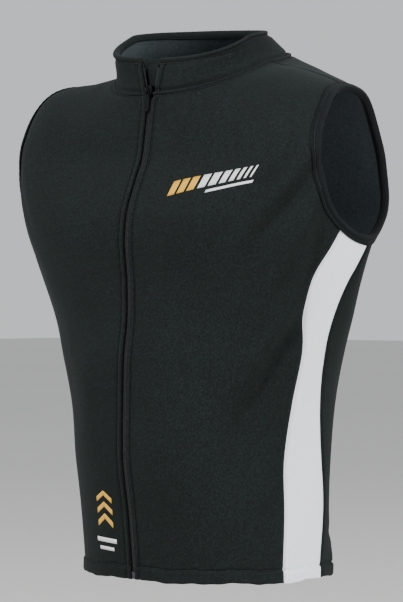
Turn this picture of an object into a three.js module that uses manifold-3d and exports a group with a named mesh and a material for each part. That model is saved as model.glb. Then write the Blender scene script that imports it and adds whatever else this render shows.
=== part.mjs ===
// Zip-front sleeveless armour vest with a stand collar, as it hangs when worn.
// Millimetres. Front is -Y, the wearer's left is +X, up is +Z.
// The origin is midway between the shoulder seams, level with them.
import * as THREE from 'three';
import * as BufferGeometryUtils from 'three/addons/utils/BufferGeometryUtils.js';
import Module from 'manifold-3d';

// Form of the body
const bodyLength = 550;
const halfWidth = 235;
const frontDepth = 130;
const backDepth = 116;
const leftDrop = 6;

// Form of the neck and collar
const neckHalfWidth = 99;
const neckFrontDepth = 79;
const neckBackDepth = 94;
const neckForward = 11;
const collarHeight = 41;
const collarHalfWidth = 89;
const collarFrontDepth = 60;
const collarBackDepth = 82;
const collarForward = 29;

// Cloth
const clothWall = 3;
const seamGap = 0.4;
const layerGap = 0.3;
const foldDepth = 2.6;
const hemHeight = 14;
const hemSwell = 0.9;
const hemCorner = 0.6;
const stitchSink = 0.5;

// Collar layers and rolled top edge
const collarWall = 2.4;
const facingWall = 3.1;
const rollHeight = 6;
const rollSwell = 1.1;

// Armhole binding
const bindingWidth = 9.5;
const bindingInside = 8;
const bindingWall = 1.4;
const bindingEdge = 1.7;
const bindingClear = 0.9;
const bindingInsideClear = 1.3;

// Zip
const slotHalf = 3.1;
const slotAtNeck = 5.6;
const slotAtTop = 15;
const placketBand = 6.5;
const placketSwell = 0.8;
const placketRound = 0.8;
const tapeWall = 1;
const tapeWidth = 11.5;
const tapeShowing = 1.6;
const tapeBelowRoll = 1.5;
const chainHalf = 2.5;
const chainDepth = 2.1;
const chainRibs = 30;
const ribDip = 0.6;
const chainClear = 0.8;
const teethWidth = 2.4;
const stopProud = 0.5;
const boxHalf = 2.7;
const boxHeight = 8;
const stopHeight = 3.2;

// Slider and its pull
const sliderHalf = 4.3;
const sliderHeight = 11;
const sliderProud = 1.6;
const sliderRear = 1.2;
const sliderPost = 1;
const archRadius = 3.2;
const archWall = 1.4;
const archHalf = 1.1;
const pullBar = 0.9;
const pullHalf = 3.4;
const pullWall = 1.6;
const pullLength = 23;
const pullWaist = 2;
const pullShoulder = 5;
const pullClear = 0.4;

// Guard flap behind the top of the zip
const guardWall = 1.1;
const guardRight = 13;
const guardLeft = 30;
const guardBelow = 46;
const guardTopDrop = 9;
const guardSlack = 0.9;

// Rings of the body from the hem up. width, chest and spine are shares of halfWidth,
// frontDepth and backDepth. flatFront and flatBack are how square the two halves are.
const bodyRings = [
  { ring: 'hem', width: 0.6, chest: 0.875, spine: 1, flatFront: 2.3, flatBack: 2.2 },
  { ring: 'hip', width: 0.61, chest: 0.935, spine: 1, flatFront: 2.3, flatBack: 2.2 },
  { ring: 'low waist', width: 0.625, chest: 1, spine: 1, flatFront: 2.3, flatBack: 2.2 },
  { ring: 'waist', width: 0.66, chest: 1, spine: 0.98, flatFront: 2.3, flatBack: 2.2 },
  { ring: 'belly', width: 0.738, chest: 0.99, spine: 0.92, flatFront: 2.35, flatBack: 2.15 },
  { ring: 'low rib', width: 0.815, chest: 0.95, spine: 0.85, flatFront: 2.35, flatBack: 2.1 },
  { ring: 'rib', width: 0.895, chest: 0.95, spine: 0.77, flatFront: 2.5, flatBack: 2 },
  { ring: 'underarm', width: 0.96, chest: 0.98, spine: 0.75, flatFront: 2.7, flatBack: 2.05 },
  { ring: 'chest', width: 0.985, chest: 0.95, spine: 0.8, flatFront: 3.2, flatBack: 2.7 },
  { ring: 'high chest', width: 1, chest: 0.85, spine: 0.79, flatFront: 4, flatBack: 2.7 },
  { ring: 'mid arm', width: 0.995, chest: 0.775, spine: 0.755, flatFront: 4.2, flatBack: 2.6 },
  { ring: 'shoulder tip', width: 0.885, chest: 0.74, spine: 0.705, flatFront: 3.4, flatBack: 2.4 },
  { ring: 'mid shoulder', width: 0.63, chest: 0.715, spine: 0.705, flatFront: 2.6, flatBack: 2.3 },
];
// How far each ring lies below the origin at the side, front and back, as shares of
// bodyLength. lower is how much of leftDrop the wearer's left side hangs lower.
const ringDrops = [
  { ring: 'hem', side: 1, front: 1, back: 1, lower: 0 },
  { ring: 'hip', side: 0.87, front: 0.87, back: 0.87, lower: 0 },
  { ring: 'low waist', side: 0.765, front: 0.765, back: 0.765, lower: 0 },
  { ring: 'waist', side: 0.66, front: 0.66, back: 0.66, lower: 0 },
  { ring: 'belly', side: 0.565, front: 0.565, back: 0.565, lower: 0 },
  { ring: 'low rib', side: 0.493, front: 0.493, back: 0.493, lower: 0 },
  { ring: 'rib', side: 0.417, front: 0.417, back: 0.417, lower: 0 },
  { ring: 'underarm', side: 0.344, front: 0.34, back: 0.347, lower: 0.1 },
  { ring: 'chest', side: 0.278, front: 0.278, back: 0.278, lower: 0.3 },
  { ring: 'high chest', side: 0.2, front: 0.217, back: 0.208, lower: 0.8 },
  { ring: 'mid arm', side: 0.12, front: 0.174, back: 0.13, lower: 1.5 },
  { ring: 'shoulder tip', side: 0.034, front: 0.125, back: 0.043, lower: 1.8 },
  { ring: 'mid shoulder', side: 0.002, front: 0.087, back: -0.019, lower: 0.4 },
];
const neckRing = {
  side: -0.022, front: 0.041, back: -0.059, flatFront: 2.3, flatBack: 2.1, lower: 0.35, blend: 0.48,
};
// The collar's rise above the neck ring, as shares of collarHeight
const collarRing = {
  side: 0.74, front: 0.88, back: 0.56, flatFront: 2.55, flatBack: 1.9, lower: 1, blend: 0.37,
};

// Soft folds in the cloth: where each is centred, in degrees and rings, its half widths
// across and along, how many degrees it slants in one ring, and its share of foldDepth.
const folds = [
  { angle: -49, ring: 6, across: 6, along: 2.2, slant: 1.8, height: -1 },
  { angle: -38, ring: 5.6, across: 5, along: 2, slant: 2.2, height: 0.692 },
  { angle: -62, ring: 2.6, across: 7, along: 1.6, slant: 1.5, height: -0.615 },
  { angle: -133, ring: 6, across: 7, along: 2, slant: -1.5, height: -0.769 },
  { angle: -120, ring: 2.4, across: 6, along: 1.5, slant: -1.5, height: 0.462 },
  { angle: 45, ring: 3, across: 8, along: 1.6, slant: 1, height: -0.923 },
  { angle: 138, ring: 3.2, across: 8, along: 1.6, slant: -1, height: -0.769 },
  { angle: 90, ring: 5, across: 9, along: 2.4, slant: 0, height: -1 },
  { angle: 30, ring: 0.1, across: 5, along: 0.5, slant: 0, height: 0.846 },
  { angle: 150, ring: 0.1, across: 5, along: 0.5, slant: 0, height: 0.769 },
];

// Front and back edges of the white side panel, in degrees, one row for each ring up.
const sideEdges = [
  { front: -14, back: 17 },
  { front: -13, back: 21 },
  { front: -14, back: 15.5 },
  { front: -13, back: 8 },
  { front: -15, back: 0 },
  { front: -21, back: -3.7 },
  { front: -24, back: -2 },
  { front: -20, back: 6 },
  { front: -17, back: 10 },
];

// Armhole edge, in degrees, from its lowest point (clock 0) to its top (clock 180) in
// steps of 30: the angle of its front and back branch.
const armholeLow = 7.17;
const armholeTop = 11.13;
const armholeEdge = [
  { front: 4, back: 4 },
  { front: -12.5, back: 19 },
  { front: -25.5, back: 29 },
  { front: -33.5, back: 35 },
  { front: -34.5, back: 36.5 },
  { front: -20, back: 26 },
  { front: 2, back: 2 },
];
const armholeStep = 30;
const sideMeetsFront = 36;
const sideMeetsBack = 8;
const frontClocks = [sideMeetsFront, 52, 68, 84, 100, 116, 129, 140, 149, 157, 165, 173, 180];
const backClocks = [sideMeetsBack, 16, 26, 38, 52, 68, 84, 100, 116, 129, 140, 150, 158, 166, 174, 180];
const sideClocks = [-sideMeetsBack, 2, 13, 25, sideMeetsFront];

// Rings at which the neck seam and the collar's top edge lie
const neckAt = bodyRings.length;
const collarAt = neckAt + 1;
const shoulderAngle = 2;

// The tables in millimetres, one row of numbers for each ring
const dropHeights = ({ side, front, back }) => [side, front, back].map((share) => -share * bodyLength);
const neckHeights = dropHeights(neckRing);
const collarRises = [collarRing.side, collarRing.front, collarRing.back];
const collarHeights = collarRises.map((share, i) => neckHeights[i] + share * collarHeight);
// blend is how soon a ring's height turns from its side value to its front or back
const heightBlend = 0.8;
const ringRow = (heights, width, chest, spine, forward, shape, lower) => [
  ...heights, width, chest, spine, -forward, shape.flatFront, shape.flatBack, lower * leftDrop,
  shape.blend ?? heightBlend,
];
const rings = bodyRings.map((row, i) => ringRow(
  dropHeights(ringDrops[i]),
  row.width * halfWidth,
  row.chest * frontDepth,
  row.spine * backDepth,
  0,
  row,
  ringDrops[i].lower,
));
rings.push(ringRow(neckHeights, neckHalfWidth, neckFrontDepth, neckBackDepth, neckForward,
  neckRing, neckRing.lower));
rings.push(ringRow(collarHeights, collarHalfWidth, collarFrontDepth, collarBackDepth, collarForward,
  collarRing, collarRing.lower));

const radians = (degrees) => degrees * Math.PI / 180;
const degrees = (angle) => angle * 180 / Math.PI;
const mix = (a, b, share) => a + (b - a) * share;
const clamp = (value, low, high) => Math.min(Math.max(value, low), high);
const ringSteps = (from, to, steps) => (
  Array.from({ length: steps + 1 }, (_, k) => mix(from, to, k / steps))
);

// A smooth curve through the rows of a table, read at a fractional row
function through(rows, at) {
  const last = rows.length - 1;
  const i = clamp(Math.floor(at), 0, last - 1);
  const u = at - i;
  const p1 = rows[i];
  const p2 = rows[i + 1];
  return p1.map((value, k) => {
    const before = i > 0 ? rows[i - 1][k] : 2 * value - p2[k];
    const after = i + 2 <= last ? rows[i + 2][k] : 2 * p2[k] - value;
    const bend = (3 * value - before - 3 * p2[k] + after) * u;
    const turn = 2 * before - 5 * value + 4 * p2[k] - after;
    return value + 0.5 * u * (p2[k] - before + u * (turn + bend));
  });
}

// A point of the smooth outer form, at an angle round the body and a height in rings
function form(angle, at) {
  const row = through(rings, at);
  const [side, front, back, width, chest, spine, forward, flatFront, flatBack, lower, blend] = row;
  const c = Math.cos(radians(angle));
  const s = Math.sin(radians(angle));
  const flat = s < 0 ? flatFront : flatBack;
  const reach = (Math.abs(c) ** flat + Math.abs(s) ** flat) ** (-1 / flat);
  const depth = s < 0 ? chest : spine;
  const sideways = reach * c;
  const tilt = Math.abs(reach * s) ** (blend * flat);
  return new THREE.Vector3(
    width * sideways,
    forward + depth * reach * s,
    side + ((s < 0 ? front : back) - side) * tilt - lower * sideways,
  );
}

// How far the cloth stands out of the smooth form because of its folds
function foldHeight(angle, at) {
  return folds.reduce((sum, fold) => {
    const turn = ((angle - fold.angle - fold.slant * (at - fold.ring) + 540) % 360) - 180;
    const off = (turn / fold.across) ** 2 + ((at - fold.ring) / fold.along) ** 2;
    return sum + foldDepth * fold.height * Math.exp(-off);
  }, 0);
}

const probe = 0.02;
function frameAt(angle, at) {
  const around = form(angle + probe, at).sub(form(angle - probe, at)).divideScalar(2 * probe);
  const low = Math.max(at - probe, 0);
  const high = Math.min(at + probe, collarAt);
  const upward = form(angle, high).sub(form(angle, low)).divideScalar(high - low);
  const out = new THREE.Vector3().crossVectors(around, upward).normalize();
  return { point: form(angle, at), around, upward, out };
}

// A point of the cloth, with its height above the outer face
function skin(angle, at, height = 0) {
  const { point, out } = frameAt(angle, at);
  return point.addScaledVector(out, height + foldHeight(angle, at));
}

// Millimetres of cloth in a degree and in a ring. Levels are worked out at the zip or at
// the middle of a front, just beside the ring that they lie near.
const perDegree = (angle, at) => frameAt(angle, at).around.length();
const perRing = (angle, at) => frameAt(angle, at).upward.length();
const centreFront = -90;
const midFront = -60;
const beside = 0.1;

// The angle of a point of the front a given distance to the left of the centre line
function besideZip(distance, at) {
  const [, , , width] = through(rings, at);
  return centreFront + degrees(Math.asin(clamp(distance / width, -1, 1)));
}

// Closed solid between two facing grids of points, one pair of lines for each section
function shell(outer, inner, isLoop = false) {
  const columns = outer[0].length;
  const points = [];
  outer.forEach((line, row) => points.push(...line, ...[...inner[row]].reverse()));
  const perRow = 2 * columns;
  const triangles = [];
  const quad = (a, b, c, d) => triangles.push(a, b, c, a, c, d);
  // The inner face is cut along the same diagonals as the outer one
  const side = (a, b, c, d, k) => (k < columns ? quad(a, b, c, d) : quad(b, c, d, a));
  const sections = isLoop ? outer.length : outer.length - 1;
  for (let row = 0; row < sections; row += 1) {
    const next = (row + 1) % outer.length;
    for (let k = 0; k < perRow; k += 1) {
      const along = (k + 1) % perRow;
      side(row * perRow + k, row * perRow + along, next * perRow + along, next * perRow + k, k);
    }
  }
  if (!isLoop) {
    const end = (outer.length - 1) * perRow;
    for (let k = 0; k < columns - 1; k += 1) {
      const facing = perRow - 1 - k;
      quad(k, facing, facing - 1, k + 1);
      quad(end + k, end + k + 1, end + facing - 1, end + facing);
    }
  }
  return solid(points, triangles);
}

// Geometry from points and triangles, turned so that its faces point outwards
function solid(points, triangles) {
  const a = new THREE.Vector3();
  const volume = triangles.reduce((sum, _, i) => {
    if (i % 3) return sum;
    const [p, q, r] = [0, 1, 2].map((k) => points[triangles[i + k]]);
    return sum + a.crossVectors(p, q).dot(r);
  }, 0);
  const index = volume > 0 ? triangles : [...triangles].reverse();
  const geometry = new THREE.BufferGeometry();
  const numbers = points.flatMap((p) => [p.x, p.y, p.z]);
  geometry.setAttribute('position', new THREE.Float32BufferAttribute(numbers, 3));
  geometry.setIndex(index);
  return geometry;
}

const vest = new THREE.Group();
function add(name, geometry, finish, parent = vest) {
  const mesh = new THREE.Mesh(geometry, new THREE.MeshStandardMaterial(finish));
  mesh.name = name;
  parent.add(mesh);
  return mesh;
}
const blackCloth = { color: 0x222a2a, roughness: 0.85, metalness: 0 };
const whiteCloth = { color: 0xe0e0e8, roughness: 0.8, metalness: 0 };
const bindingCloth = { color: 0x2b3033, roughness: 0.75, metalness: 0 };
const liningCloth = { color: 0x1f252b, roughness: 0.9, metalness: 0 };
const zipTapeCloth = { color: 0x17191b, roughness: 0.8, metalness: 0 };
const zipTooth = { color: 0x2a2c2e, roughness: 0.45, metalness: 0 };
const zipMetal = { color: 0x6f7277, roughness: 0.35, metalness: 1 };

// Half width of the zip slot: narrow below, opening in a V from just under the neck seam
const slotOpensAt = neckAt - 0.6;
const slotBow = 0.7;
function slotEdge(at) {
  if (at <= slotOpensAt) return slotHalf;
  if (at <= neckAt) return mix(slotHalf, slotAtNeck, (at - slotOpensAt) / (neckAt - slotOpensAt));
  return mix(slotAtNeck, slotAtTop, (at - neckAt) ** slotBow);
}

// Height in rings of the armhole edge at a clock angle, and the clock angle at a height
const clockToRing = (clock) => mix(armholeLow, armholeTop, (1 - Math.cos(radians(clock))) / 2);
function ringToClock(at) {
  const share = clamp((at - armholeLow) / (armholeTop - armholeLow), 0, 1);
  return degrees(Math.acos(1 - 2 * share));
}
const armholeRows = armholeEdge.map((row) => [row.front, row.back]);
function armholeAngle(clock) {
  const [front, back] = through(armholeRows, Math.abs(clock) / armholeStep);
  return clock < 0 ? back : front;
}

// Side seams, drawn over to the armhole edge where they meet it
const sideRows = sideEdges.map((row) => [row.front, row.back]);
const frontMeets = clockToRing(sideMeetsFront);
const backMeets = clockToRing(sideMeetsBack);
const drawRings = 2;
const drawOver = (at, meets) => clamp((at - meets + drawRings) / drawRings, 0, 1) ** 2;
function sideFront(at) {
  const missing = armholeAngle(sideMeetsFront) - through(sideRows, frontMeets)[0];
  return through(sideRows, at)[0] + missing * drawOver(at, frontMeets);
}
function sideBack(at) {
  const missing = armholeAngle(-sideMeetsBack) - through(sideRows, backMeets)[1];
  return through(sideRows, at)[1] + missing * drawOver(at, backMeets);
}

// Extra height of the cloth where it is folded double at the hem, with the stitch line
const near = 0.001;
const hemTopAt = hemHeight / perRing(midFront, beside);
const isHem = (at) => at < hemTopAt - near;
const isHemStitch = (at) => Math.abs(at - hemTopAt) < near;
function hemOuter(at) {
  if (isHemStitch(at)) return -stitchSink;
  return isHem(at) ? hemSwell : 0;
}
const hemInner = (at) => (isHem(at) ? -clothWall - hemSwell : -clothWall);
const hemRings = [0, 0.88, 1, 1.3].map((share) => share * hemTopAt);
const hemRound = (at) => (at === 0 ? hemCorner : 0);

// Rings of a panel: up the side seam, round the armhole and along the shoulder
const seamTopAt = 6.5;
const lowRings = [...hemRings, 0.6, 1.2, 2, 2.8, 3.6, 4.3, 5, 5.6, 6.1, seamTopAt];
const seamShares = [0.55, 0.8];
const shoulderRings = [0.12, 0.35, 0.6, 0.85].map((share) => mix(armholeTop, neckAt, share));
const halfSeam = seamGap / 2;
function panelRings(clocks) {
  const meets = clockToRing(clocks[0]);
  const topGap = seamGap / perRing(midFront, neckAt - beside);
  return [
    ...lowRings,
    ...seamShares.map((share) => mix(seamTopAt, meets, share)),
    ...clocks.map(clockToRing),
    ...shoulderRings,
    neckAt - topGap,
  ];
}

// Outer edge of a front panel and of half the back panel, on the wearer's left
const frontSeam = -20;
const backSeam = 20;
const seamInset = (angle, at) => halfSeam / perDegree(angle, clamp(at, 0, neckAt));
function frontEdge(at) {
  const inset = seamInset(frontSeam, at);
  if (at < frontMeets + near) return sideFront(at) - inset;
  if (at < armholeTop - near) return armholeAngle(ringToClock(at));
  return shoulderAngle - seamInset(shoulderAngle, at);
}
function backEdge(at) {
  const inset = seamInset(backSeam, at);
  if (at < backMeets + near) return sideBack(at) + inset;
  if (at < armholeTop - near) return armholeAngle(-ringToClock(at));
  return shoulderAngle + seamInset(shoulderAngle, at);
}

// A front panel. Its zip edge is folded under and stitched down as a raised band.
const frontColumns = 9;
const crowd = 1.4;
const placketBands = [
  { from: 0, rise: placketSwell / 4 },
  { from: placketRound, rise: placketSwell },
  { from: placketBand - placketRound, rise: placketSwell },
  { from: placketBand, rise: -stitchSink },
  { from: placketBand + 2 * placketRound, rise: 0 },
  { from: tapeWidth + 1, rise: 0 },
];
function frontPanel(isLeft) {
  const outer = [];
  const inner = [];
  panelRings(frontClocks).forEach((at) => {
    const edge = frontEdge(at);
    const slot = slotEdge(at);
    const columns = placketBands.map(({ from, rise }) => (
      { angle: besideZip(slot + from, at), rise, under: -clothWall }
    ));
    const start = columns.at(-1).angle;
    for (let k = 1; k <= frontColumns; k += 1) {
      const share = 1 - (1 - k / frontColumns) ** crowd;
      columns.push({ angle: mix(start, edge, share), rise: 0, under: hemInner(at) });
    }
    const turned = (angle) => (isLeft ? angle : 180 - angle);
    const cloth = (column, height) => skin(turned(column.angle), at, height);
    outer.push(columns.map((column) => cloth(column, Math.max(column.rise, hemOuter(at)) - hemRound(at))));
    inner.push(columns.map((column) => cloth(column, column.under + hemRound(at))));
  });
  return shell(outer, inner);
}
add('front_left', frontPanel(true), blackCloth);
add('front_right', frontPanel(false), blackCloth);

// The back panel, one piece from side seam to side seam
const backColumns = 14;
const backCrowd = 0.6;
function backPanel() {
  const outer = [];
  const inner = [];
  panelRings(backClocks).forEach((at) => {
    const edge = backEdge(at);
    const angles = Array.from({ length: backColumns + 1 }, (_, k) => {
      const even = k / backColumns;
      const crowded = (1 - Math.cos(Math.PI * even)) / 2;
      return mix(edge, 180 - edge, mix(even, crowded, backCrowd));
    });
    outer.push(angles.map((angle) => skin(angle, at, hemOuter(at) - hemRound(at))));
    inner.push(angles.map((angle) => skin(angle, at, hemInner(at) + hemRound(at))));
  });
  return shell(outer, inner);
}
add('back_panel', backPanel(), blackCloth);

// A white side panel. Its top edge is the bottom of the armhole.
function sidePanel(isLeft) {
  const bulge = 0.5;
  const levels = [
    ...lowRings.map((at) => ({ at, share: 0 })),
    ...[...seamShares, 1].map((share) => ({ at: seamTopAt, share })),
  ];
  const topStraight = (across) => mix(armholeAngle(-sideMeetsBack), armholeAngle(sideMeetsFront), across);
  const lines = levels.map(({ at: level, share }) => sideClocks.map((clock, k) => {
    const across = k / (sideClocks.length - 1);
    const settle = share > 0 ? mix(bulge, 1, share) : bulge * (level / seamTopAt) ** 6;
    const atBack = mix(level, backMeets, share);
    const atFront = mix(level, frontMeets, share);
    const fromBack = sideBack(atBack) - seamInset(backSeam, atBack);
    const fromFront = sideFront(atFront) + seamInset(frontSeam, atFront);
    const isInside = k > 0 && k < sideClocks.length - 1;
    const pull = isInside ? armholeAngle(clock) - topStraight(across) : 0;
    return {
      angle: mix(fromBack, fromFront, across) + pull * settle,
      at: mix(level, clockToRing(clock), share),
      hem: share > 0 ? seamTopAt : level,
    };
  }));
  const turned = (angle) => (isLeft ? angle : 180 - angle);
  const face = (height) => lines.map((line) => line.map(({ angle, at, hem }) => (
    skin(turned(angle), at, height(hem))
  )));
  return shell(face((hem) => hemOuter(hem) - hemRound(hem)), face((hem) => hemInner(hem) + hemRound(hem)));
}
add('side_panel_left', sidePanel(true), whiteCloth);
add('side_panel_right', sidePanel(false), whiteCloth);

// Binding folded over the armhole edge: a leg outside, the turn and a leg inside
function binding(isLeft) {
  const clocks = [
    ...sideClocks.slice(0, -1),
    ...frontClocks,
    ...backClocks.slice(1, -1).reverse().map((clock) => -clock),
  ];
  const edges = clocks.map((clock) => {
    const angle = armholeAngle(clock);
    return { angle: isLeft ? angle : 180 - angle, at: clockToRing(clock) };
  });
  const edgePoints = edges.map(({ angle, at }) => skin(angle, at));
  const middle = edgePoints.reduce((sum, p) => sum.add(p), new THREE.Vector3()).divideScalar(edges.length);
  const inside = clothWall + bindingInsideClear;
  const turn = -bindingEdge;
  const turnRound = 0.2;
  const profile = [
    { over: bindingWidth, outer: bindingClear + bindingWall, inner: bindingClear },
    { over: 0, outer: bindingClear + bindingWall, inner: bindingClear },
    { over: turn, outer: turnRound, inner: 0, innerOver: -seamGap },
    { over: turn - 2 * turnRound, outer: -clothWall / 2, inner: -clothWall / 2, innerOver: -seamGap },
    { over: turn, outer: -clothWall - turnRound, inner: -clothWall, innerOver: -seamGap },
    { over: 0, outer: -inside - bindingWall, inner: -inside },
    { over: bindingInside, outer: -inside - bindingWall, inner: -inside },
  ];
  const outer = [];
  const inner = [];
  edges.forEach(({ angle, at }, i) => {
    const before = edgePoints[(i + edges.length - 1) % edges.length];
    const after = edgePoints[(i + 1) % edges.length];
    const along = after.clone().sub(before).normalize();
    const { around, upward, out } = frameAt(angle, at);
    const away = new THREE.Vector3().crossVectors(along, out).normalize();
    if (away.dot(edgePoints[i].clone().sub(middle)) < 0) away.negate();
    const aa = around.dot(around);
    const au = around.dot(upward);
    const uu = upward.dot(upward);
    const onCloth = (over, height) => {
      const step = away.clone().multiplyScalar(over);
      const share = aa * uu - au * au;
      const sideways = (step.dot(around) * uu - step.dot(upward) * au) / share;
      const rise = (step.dot(upward) * aa - step.dot(around) * au) / share;
      return skin(angle + sideways, at + rise, height);
    };
    outer.push(profile.map((row) => onCloth(row.over, row.outer)));
    inner.push(profile.map((row) => onCloth(row.innerOver ?? row.over, row.inner)));
  });
  return shell(outer, inner, true);
}
add('armhole_binding_left', binding(true), bindingCloth);
add('armhole_binding_right', binding(false), bindingCloth);

// Angles round the collar: one zip edge, the edge of the facing, even steps and back
const collarSteps = 22;
const collarFirst = -68;
const facingReach = tapeWidth + seamGap;
function collarAngles(at, ends) {
  const first = ends.map((inset) => besideZip(slotEdge(at) + inset, at));
  const round = ringSteps(collarFirst, 180 - collarFirst, collarSteps);
  return [...first, ...round, ...first.map((angle) => 180 - angle).reverse()];
}
const rollAt = collarAt - rollHeight / perRing(midFront, collarAt - beside);
const rollStart = 0.03;
const bandRings = [
  neckAt + seamGap / perRing(midFront, neckAt + beside),
  ...[0.22, 0.55].map((share) => mix(neckAt, rollAt, share)),
  rollAt - rollStart,
];

// Collar: one band folded over at the top in a stitched roll
function collar() {
  const backOfRoll = -collarWall - facingWall;
  const rollRing = (share) => mix(rollAt + rollStart, collarAt, share);
  const profile = [
    ...bandRings.map((at) => ({ at, outer: 0, inner: -collarWall })),
    { at: rollAt, outer: -stitchSink, inner: -collarWall },
    { at: rollRing(0), outer: rollSwell * 0.6, inner: backOfRoll - layerGap },
    { at: rollRing(0.45), outer: rollSwell, inner: backOfRoll - rollSwell },
    { at: rollRing(0.83), outer: rollSwell * 0.4, inner: backOfRoll - rollSwell * 0.5 },
    { at: collarAt, outer: -rollSwell, inner: backOfRoll + rollSwell },
  ];
  const face = (side) => profile.map((row) => collarAngles(row.at, [0, facingReach]).map((angle) => (
    skin(angle, row.at, row[side])
  )));
  return shell(face('outer'), face('inner'));
}
add('collar', collar(), blackCloth);

// Facing inside the collar, from behind one zip tape round to the other
function collarFacing() {
  const face = (height) => bandRings.map((at) => collarAngles(at, [facingReach]).map((angle) => (
    skin(angle, at, height)
  )));
  return shell(face(-collarWall - layerGap), face(-collarWall - facingWall));
}
add('collar_facing', collarFacing(), liningCloth);

// Zip tapes behind the front edges, and the chain of teeth on them
const tapeFront = -clothWall - 2 * layerGap;
const tapeBack = tapeFront - tapeWall;
const tapeTopAt = collarAt - (rollHeight + tapeBelowRoll) / perRing(centreFront, collarAt - beside);
const boxTopAt = boxHeight / perRing(centreFront, beside);
const sliderAt = neckAt;
const sliderReach = (sliderHeight / 2 + chainClear) / perRing(centreFront, sliderAt);
const zipFootAt = layerGap / perRing(centreFront, beside);

function strip(levels, sideSign, inEdge, outEdge, front, back) {
  const place = (distance, at) => {
    const angle = besideZip(distance, at);
    return sideSign > 0 ? angle : 180 - angle;
  };
  const lines = (height) => levels.map((at) => [inEdge, outEdge].map((edge) => (
    skin(place(edge(at), at), at, height)
  )));
  return shell(lines(front), lines(back));
}
const tapeLevels = [
  ...ringSteps(zipFootAt, slotOpensAt, 26),
  ...ringSteps(slotOpensAt + beside, tapeTopAt, 7),
];
const zipSides = [
  { side: 'left', sign: 1 },
  { side: 'right', sign: -1 },
];
zipSides.forEach(({ side, sign }) => {
  const inEdge = (at) => slotEdge(at) - tapeShowing;
  const outEdge = (at) => slotEdge(at) + tapeWidth - 1;
  add(`zip_tape_${side}`, strip(tapeLevels, sign, inEdge, outEdge, tapeFront, tapeBack), zipTapeCloth);
});

// The closed chain: its face rises and falls with the ribs of the teeth
const chainBack = tapeFront + layerGap;
const chainFace = chainBack + chainDepth;
function closedChain() {
  const levels = ringSteps(boxTopAt + zipFootAt, sliderAt - sliderReach, chainRibs);
  const columns = [-1, -0.35, 0.35, 1];
  const line = (at, height) => columns.map((share) => (
    skin(besideZip(share * chainHalf, at), at, height(Math.abs(share) === 1))
  ));
  const outer = levels.map((at, i) => {
    const face = chainFace - (i % 2 ? 0 : ribDip);
    return line(at, (isEdge) => (isEdge ? face - ribDip : face));
  });
  return shell(outer, levels.map((at) => line(at, () => chainBack)));
}
add('zip_chain', closedChain(), zipTooth);

// The open halves of the chain, up the two edges of the V, with a stop at the top
const stopFootAt = tapeTopAt - stopHeight / perRing(centreFront, tapeTopAt);
zipSides.forEach(({ side, sign }) => {
  const outEdge = (at) => slotEdge(at) - (tapeShowing - chainClear / 2) / 2;
  const inEdge = (at) => outEdge(at) - teethWidth;
  const halves = ringSteps(sliderAt + sliderReach, stopFootAt - zipFootAt, 9);
  const stops = ringSteps(stopFootAt, tapeTopAt - zipFootAt, 1);
  add(`zip_teeth_${side}`, strip(halves, sign, inEdge, outEdge, chainFace, chainBack), zipTooth);
  const stop = strip(stops, sign, inEdge, outEdge, chainFace + stopProud, chainBack);
  add(`zip_top_stop_${side}`, stop, zipMetal);
});

// Metal box that holds the foot of the zip
function zipBox() {
  const levels = ringSteps(zipFootAt, boxTopAt, 2);
  const across = (height) => levels.map((at) => [-1, 1].map((share) => (
    skin(besideZip(share * boxHalf, at), at, height)
  )));
  return shell(across(layerGap), across(chainBack));
}
add('zip_box', zipBox(), zipMetal);

// Guard flap behind the top of the zip, held at the wearer's left
function guard() {
  const front = -collarWall - facingWall - 2 * layerGap;
  const low = neckAt - guardBelow / perRing(centreFront, slotOpensAt);
  const high = collarAt - guardTopDrop / perRing(centreFront, collarAt - beside);
  const levels = ringSteps(low, high, 7);
  const columns = ringSteps(-guardRight, guardLeft, 6);
  const clear = (across) => (across < facingReach ? guardSlack : 0);
  const face = (height) => levels.map((at) => columns.map((across) => (
    skin(besideZip(across, at), at, height - clear(across))
  )));
  return shell(face(front), face(front - guardWall));
}
add('zip_guard', guard(), liningCloth);

// Slider and pull, made flat at their own origin and then laid on the zip
const wasm = await Module();
wasm.setup();
function toSolid(geometry) {
  const bare = geometry.clone();
  bare.deleteAttribute('normal');
  bare.deleteAttribute('uv');
  const merged = BufferGeometryUtils.mergeVertices(bare);
  const vertProperties = new Float32Array(merged.attributes.position.array);
  const triVerts = new Uint32Array(merged.index.array);
  return new wasm.Manifold(new wasm.Mesh({ numProp: 3, vertProperties, triVerts }));
}
function toGeometry(body) {
  const mesh = body.getMesh();
  const geometry = new THREE.BufferGeometry();
  geometry.setAttribute('position', new THREE.Float32BufferAttribute(mesh.vertProperties, 3));
  geometry.setIndex(Array.from(mesh.triVerts));
  return geometry;
}
function block(x0, x1, y0, y1, z0, z1) {
  const geometry = new THREE.BoxGeometry(x1 - x0, y1 - y0, z1 - z0);
  geometry.translate((x0 + x1) / 2, (y0 + y1) / 2, (z0 + z1) / 2);
  return toSolid(geometry);
}

// In the slider's frame the zip runs along Z, the front is -Y and the pull's bar is the
// X axis. faceDepth is how far behind the bar the slider's face lies. sink is how far
// joined parts run into each other.
const faceDepth = pullBar + pullClear;
const slotFloor = faceDepth + sliderProud - tapeFront - layerGap;
const sink = 0.5;
const curveSegments = 8;

// A flat piece cut to an outline drawn across the zip, between two depths
function plate(outline, from, to) {
  const settings = { depth: to - from, bevelEnabled: false, curveSegments };
  const geometry = new THREE.ExtrudeGeometry(outline, settings);
  geometry.rotateX(Math.PI / 2);
  geometry.translate(0, to, 0);
  return toSolid(geometry);
}

// Outline through corner points, mirrored to the other side of the zip
function mirrored(corners) {
  const others = corners.map(([x, z]) => [-x, z]).reverse();
  return new THREE.Shape([...corners, ...others].map(([x, z]) => new THREE.Vector2(x, z)));
}

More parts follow.
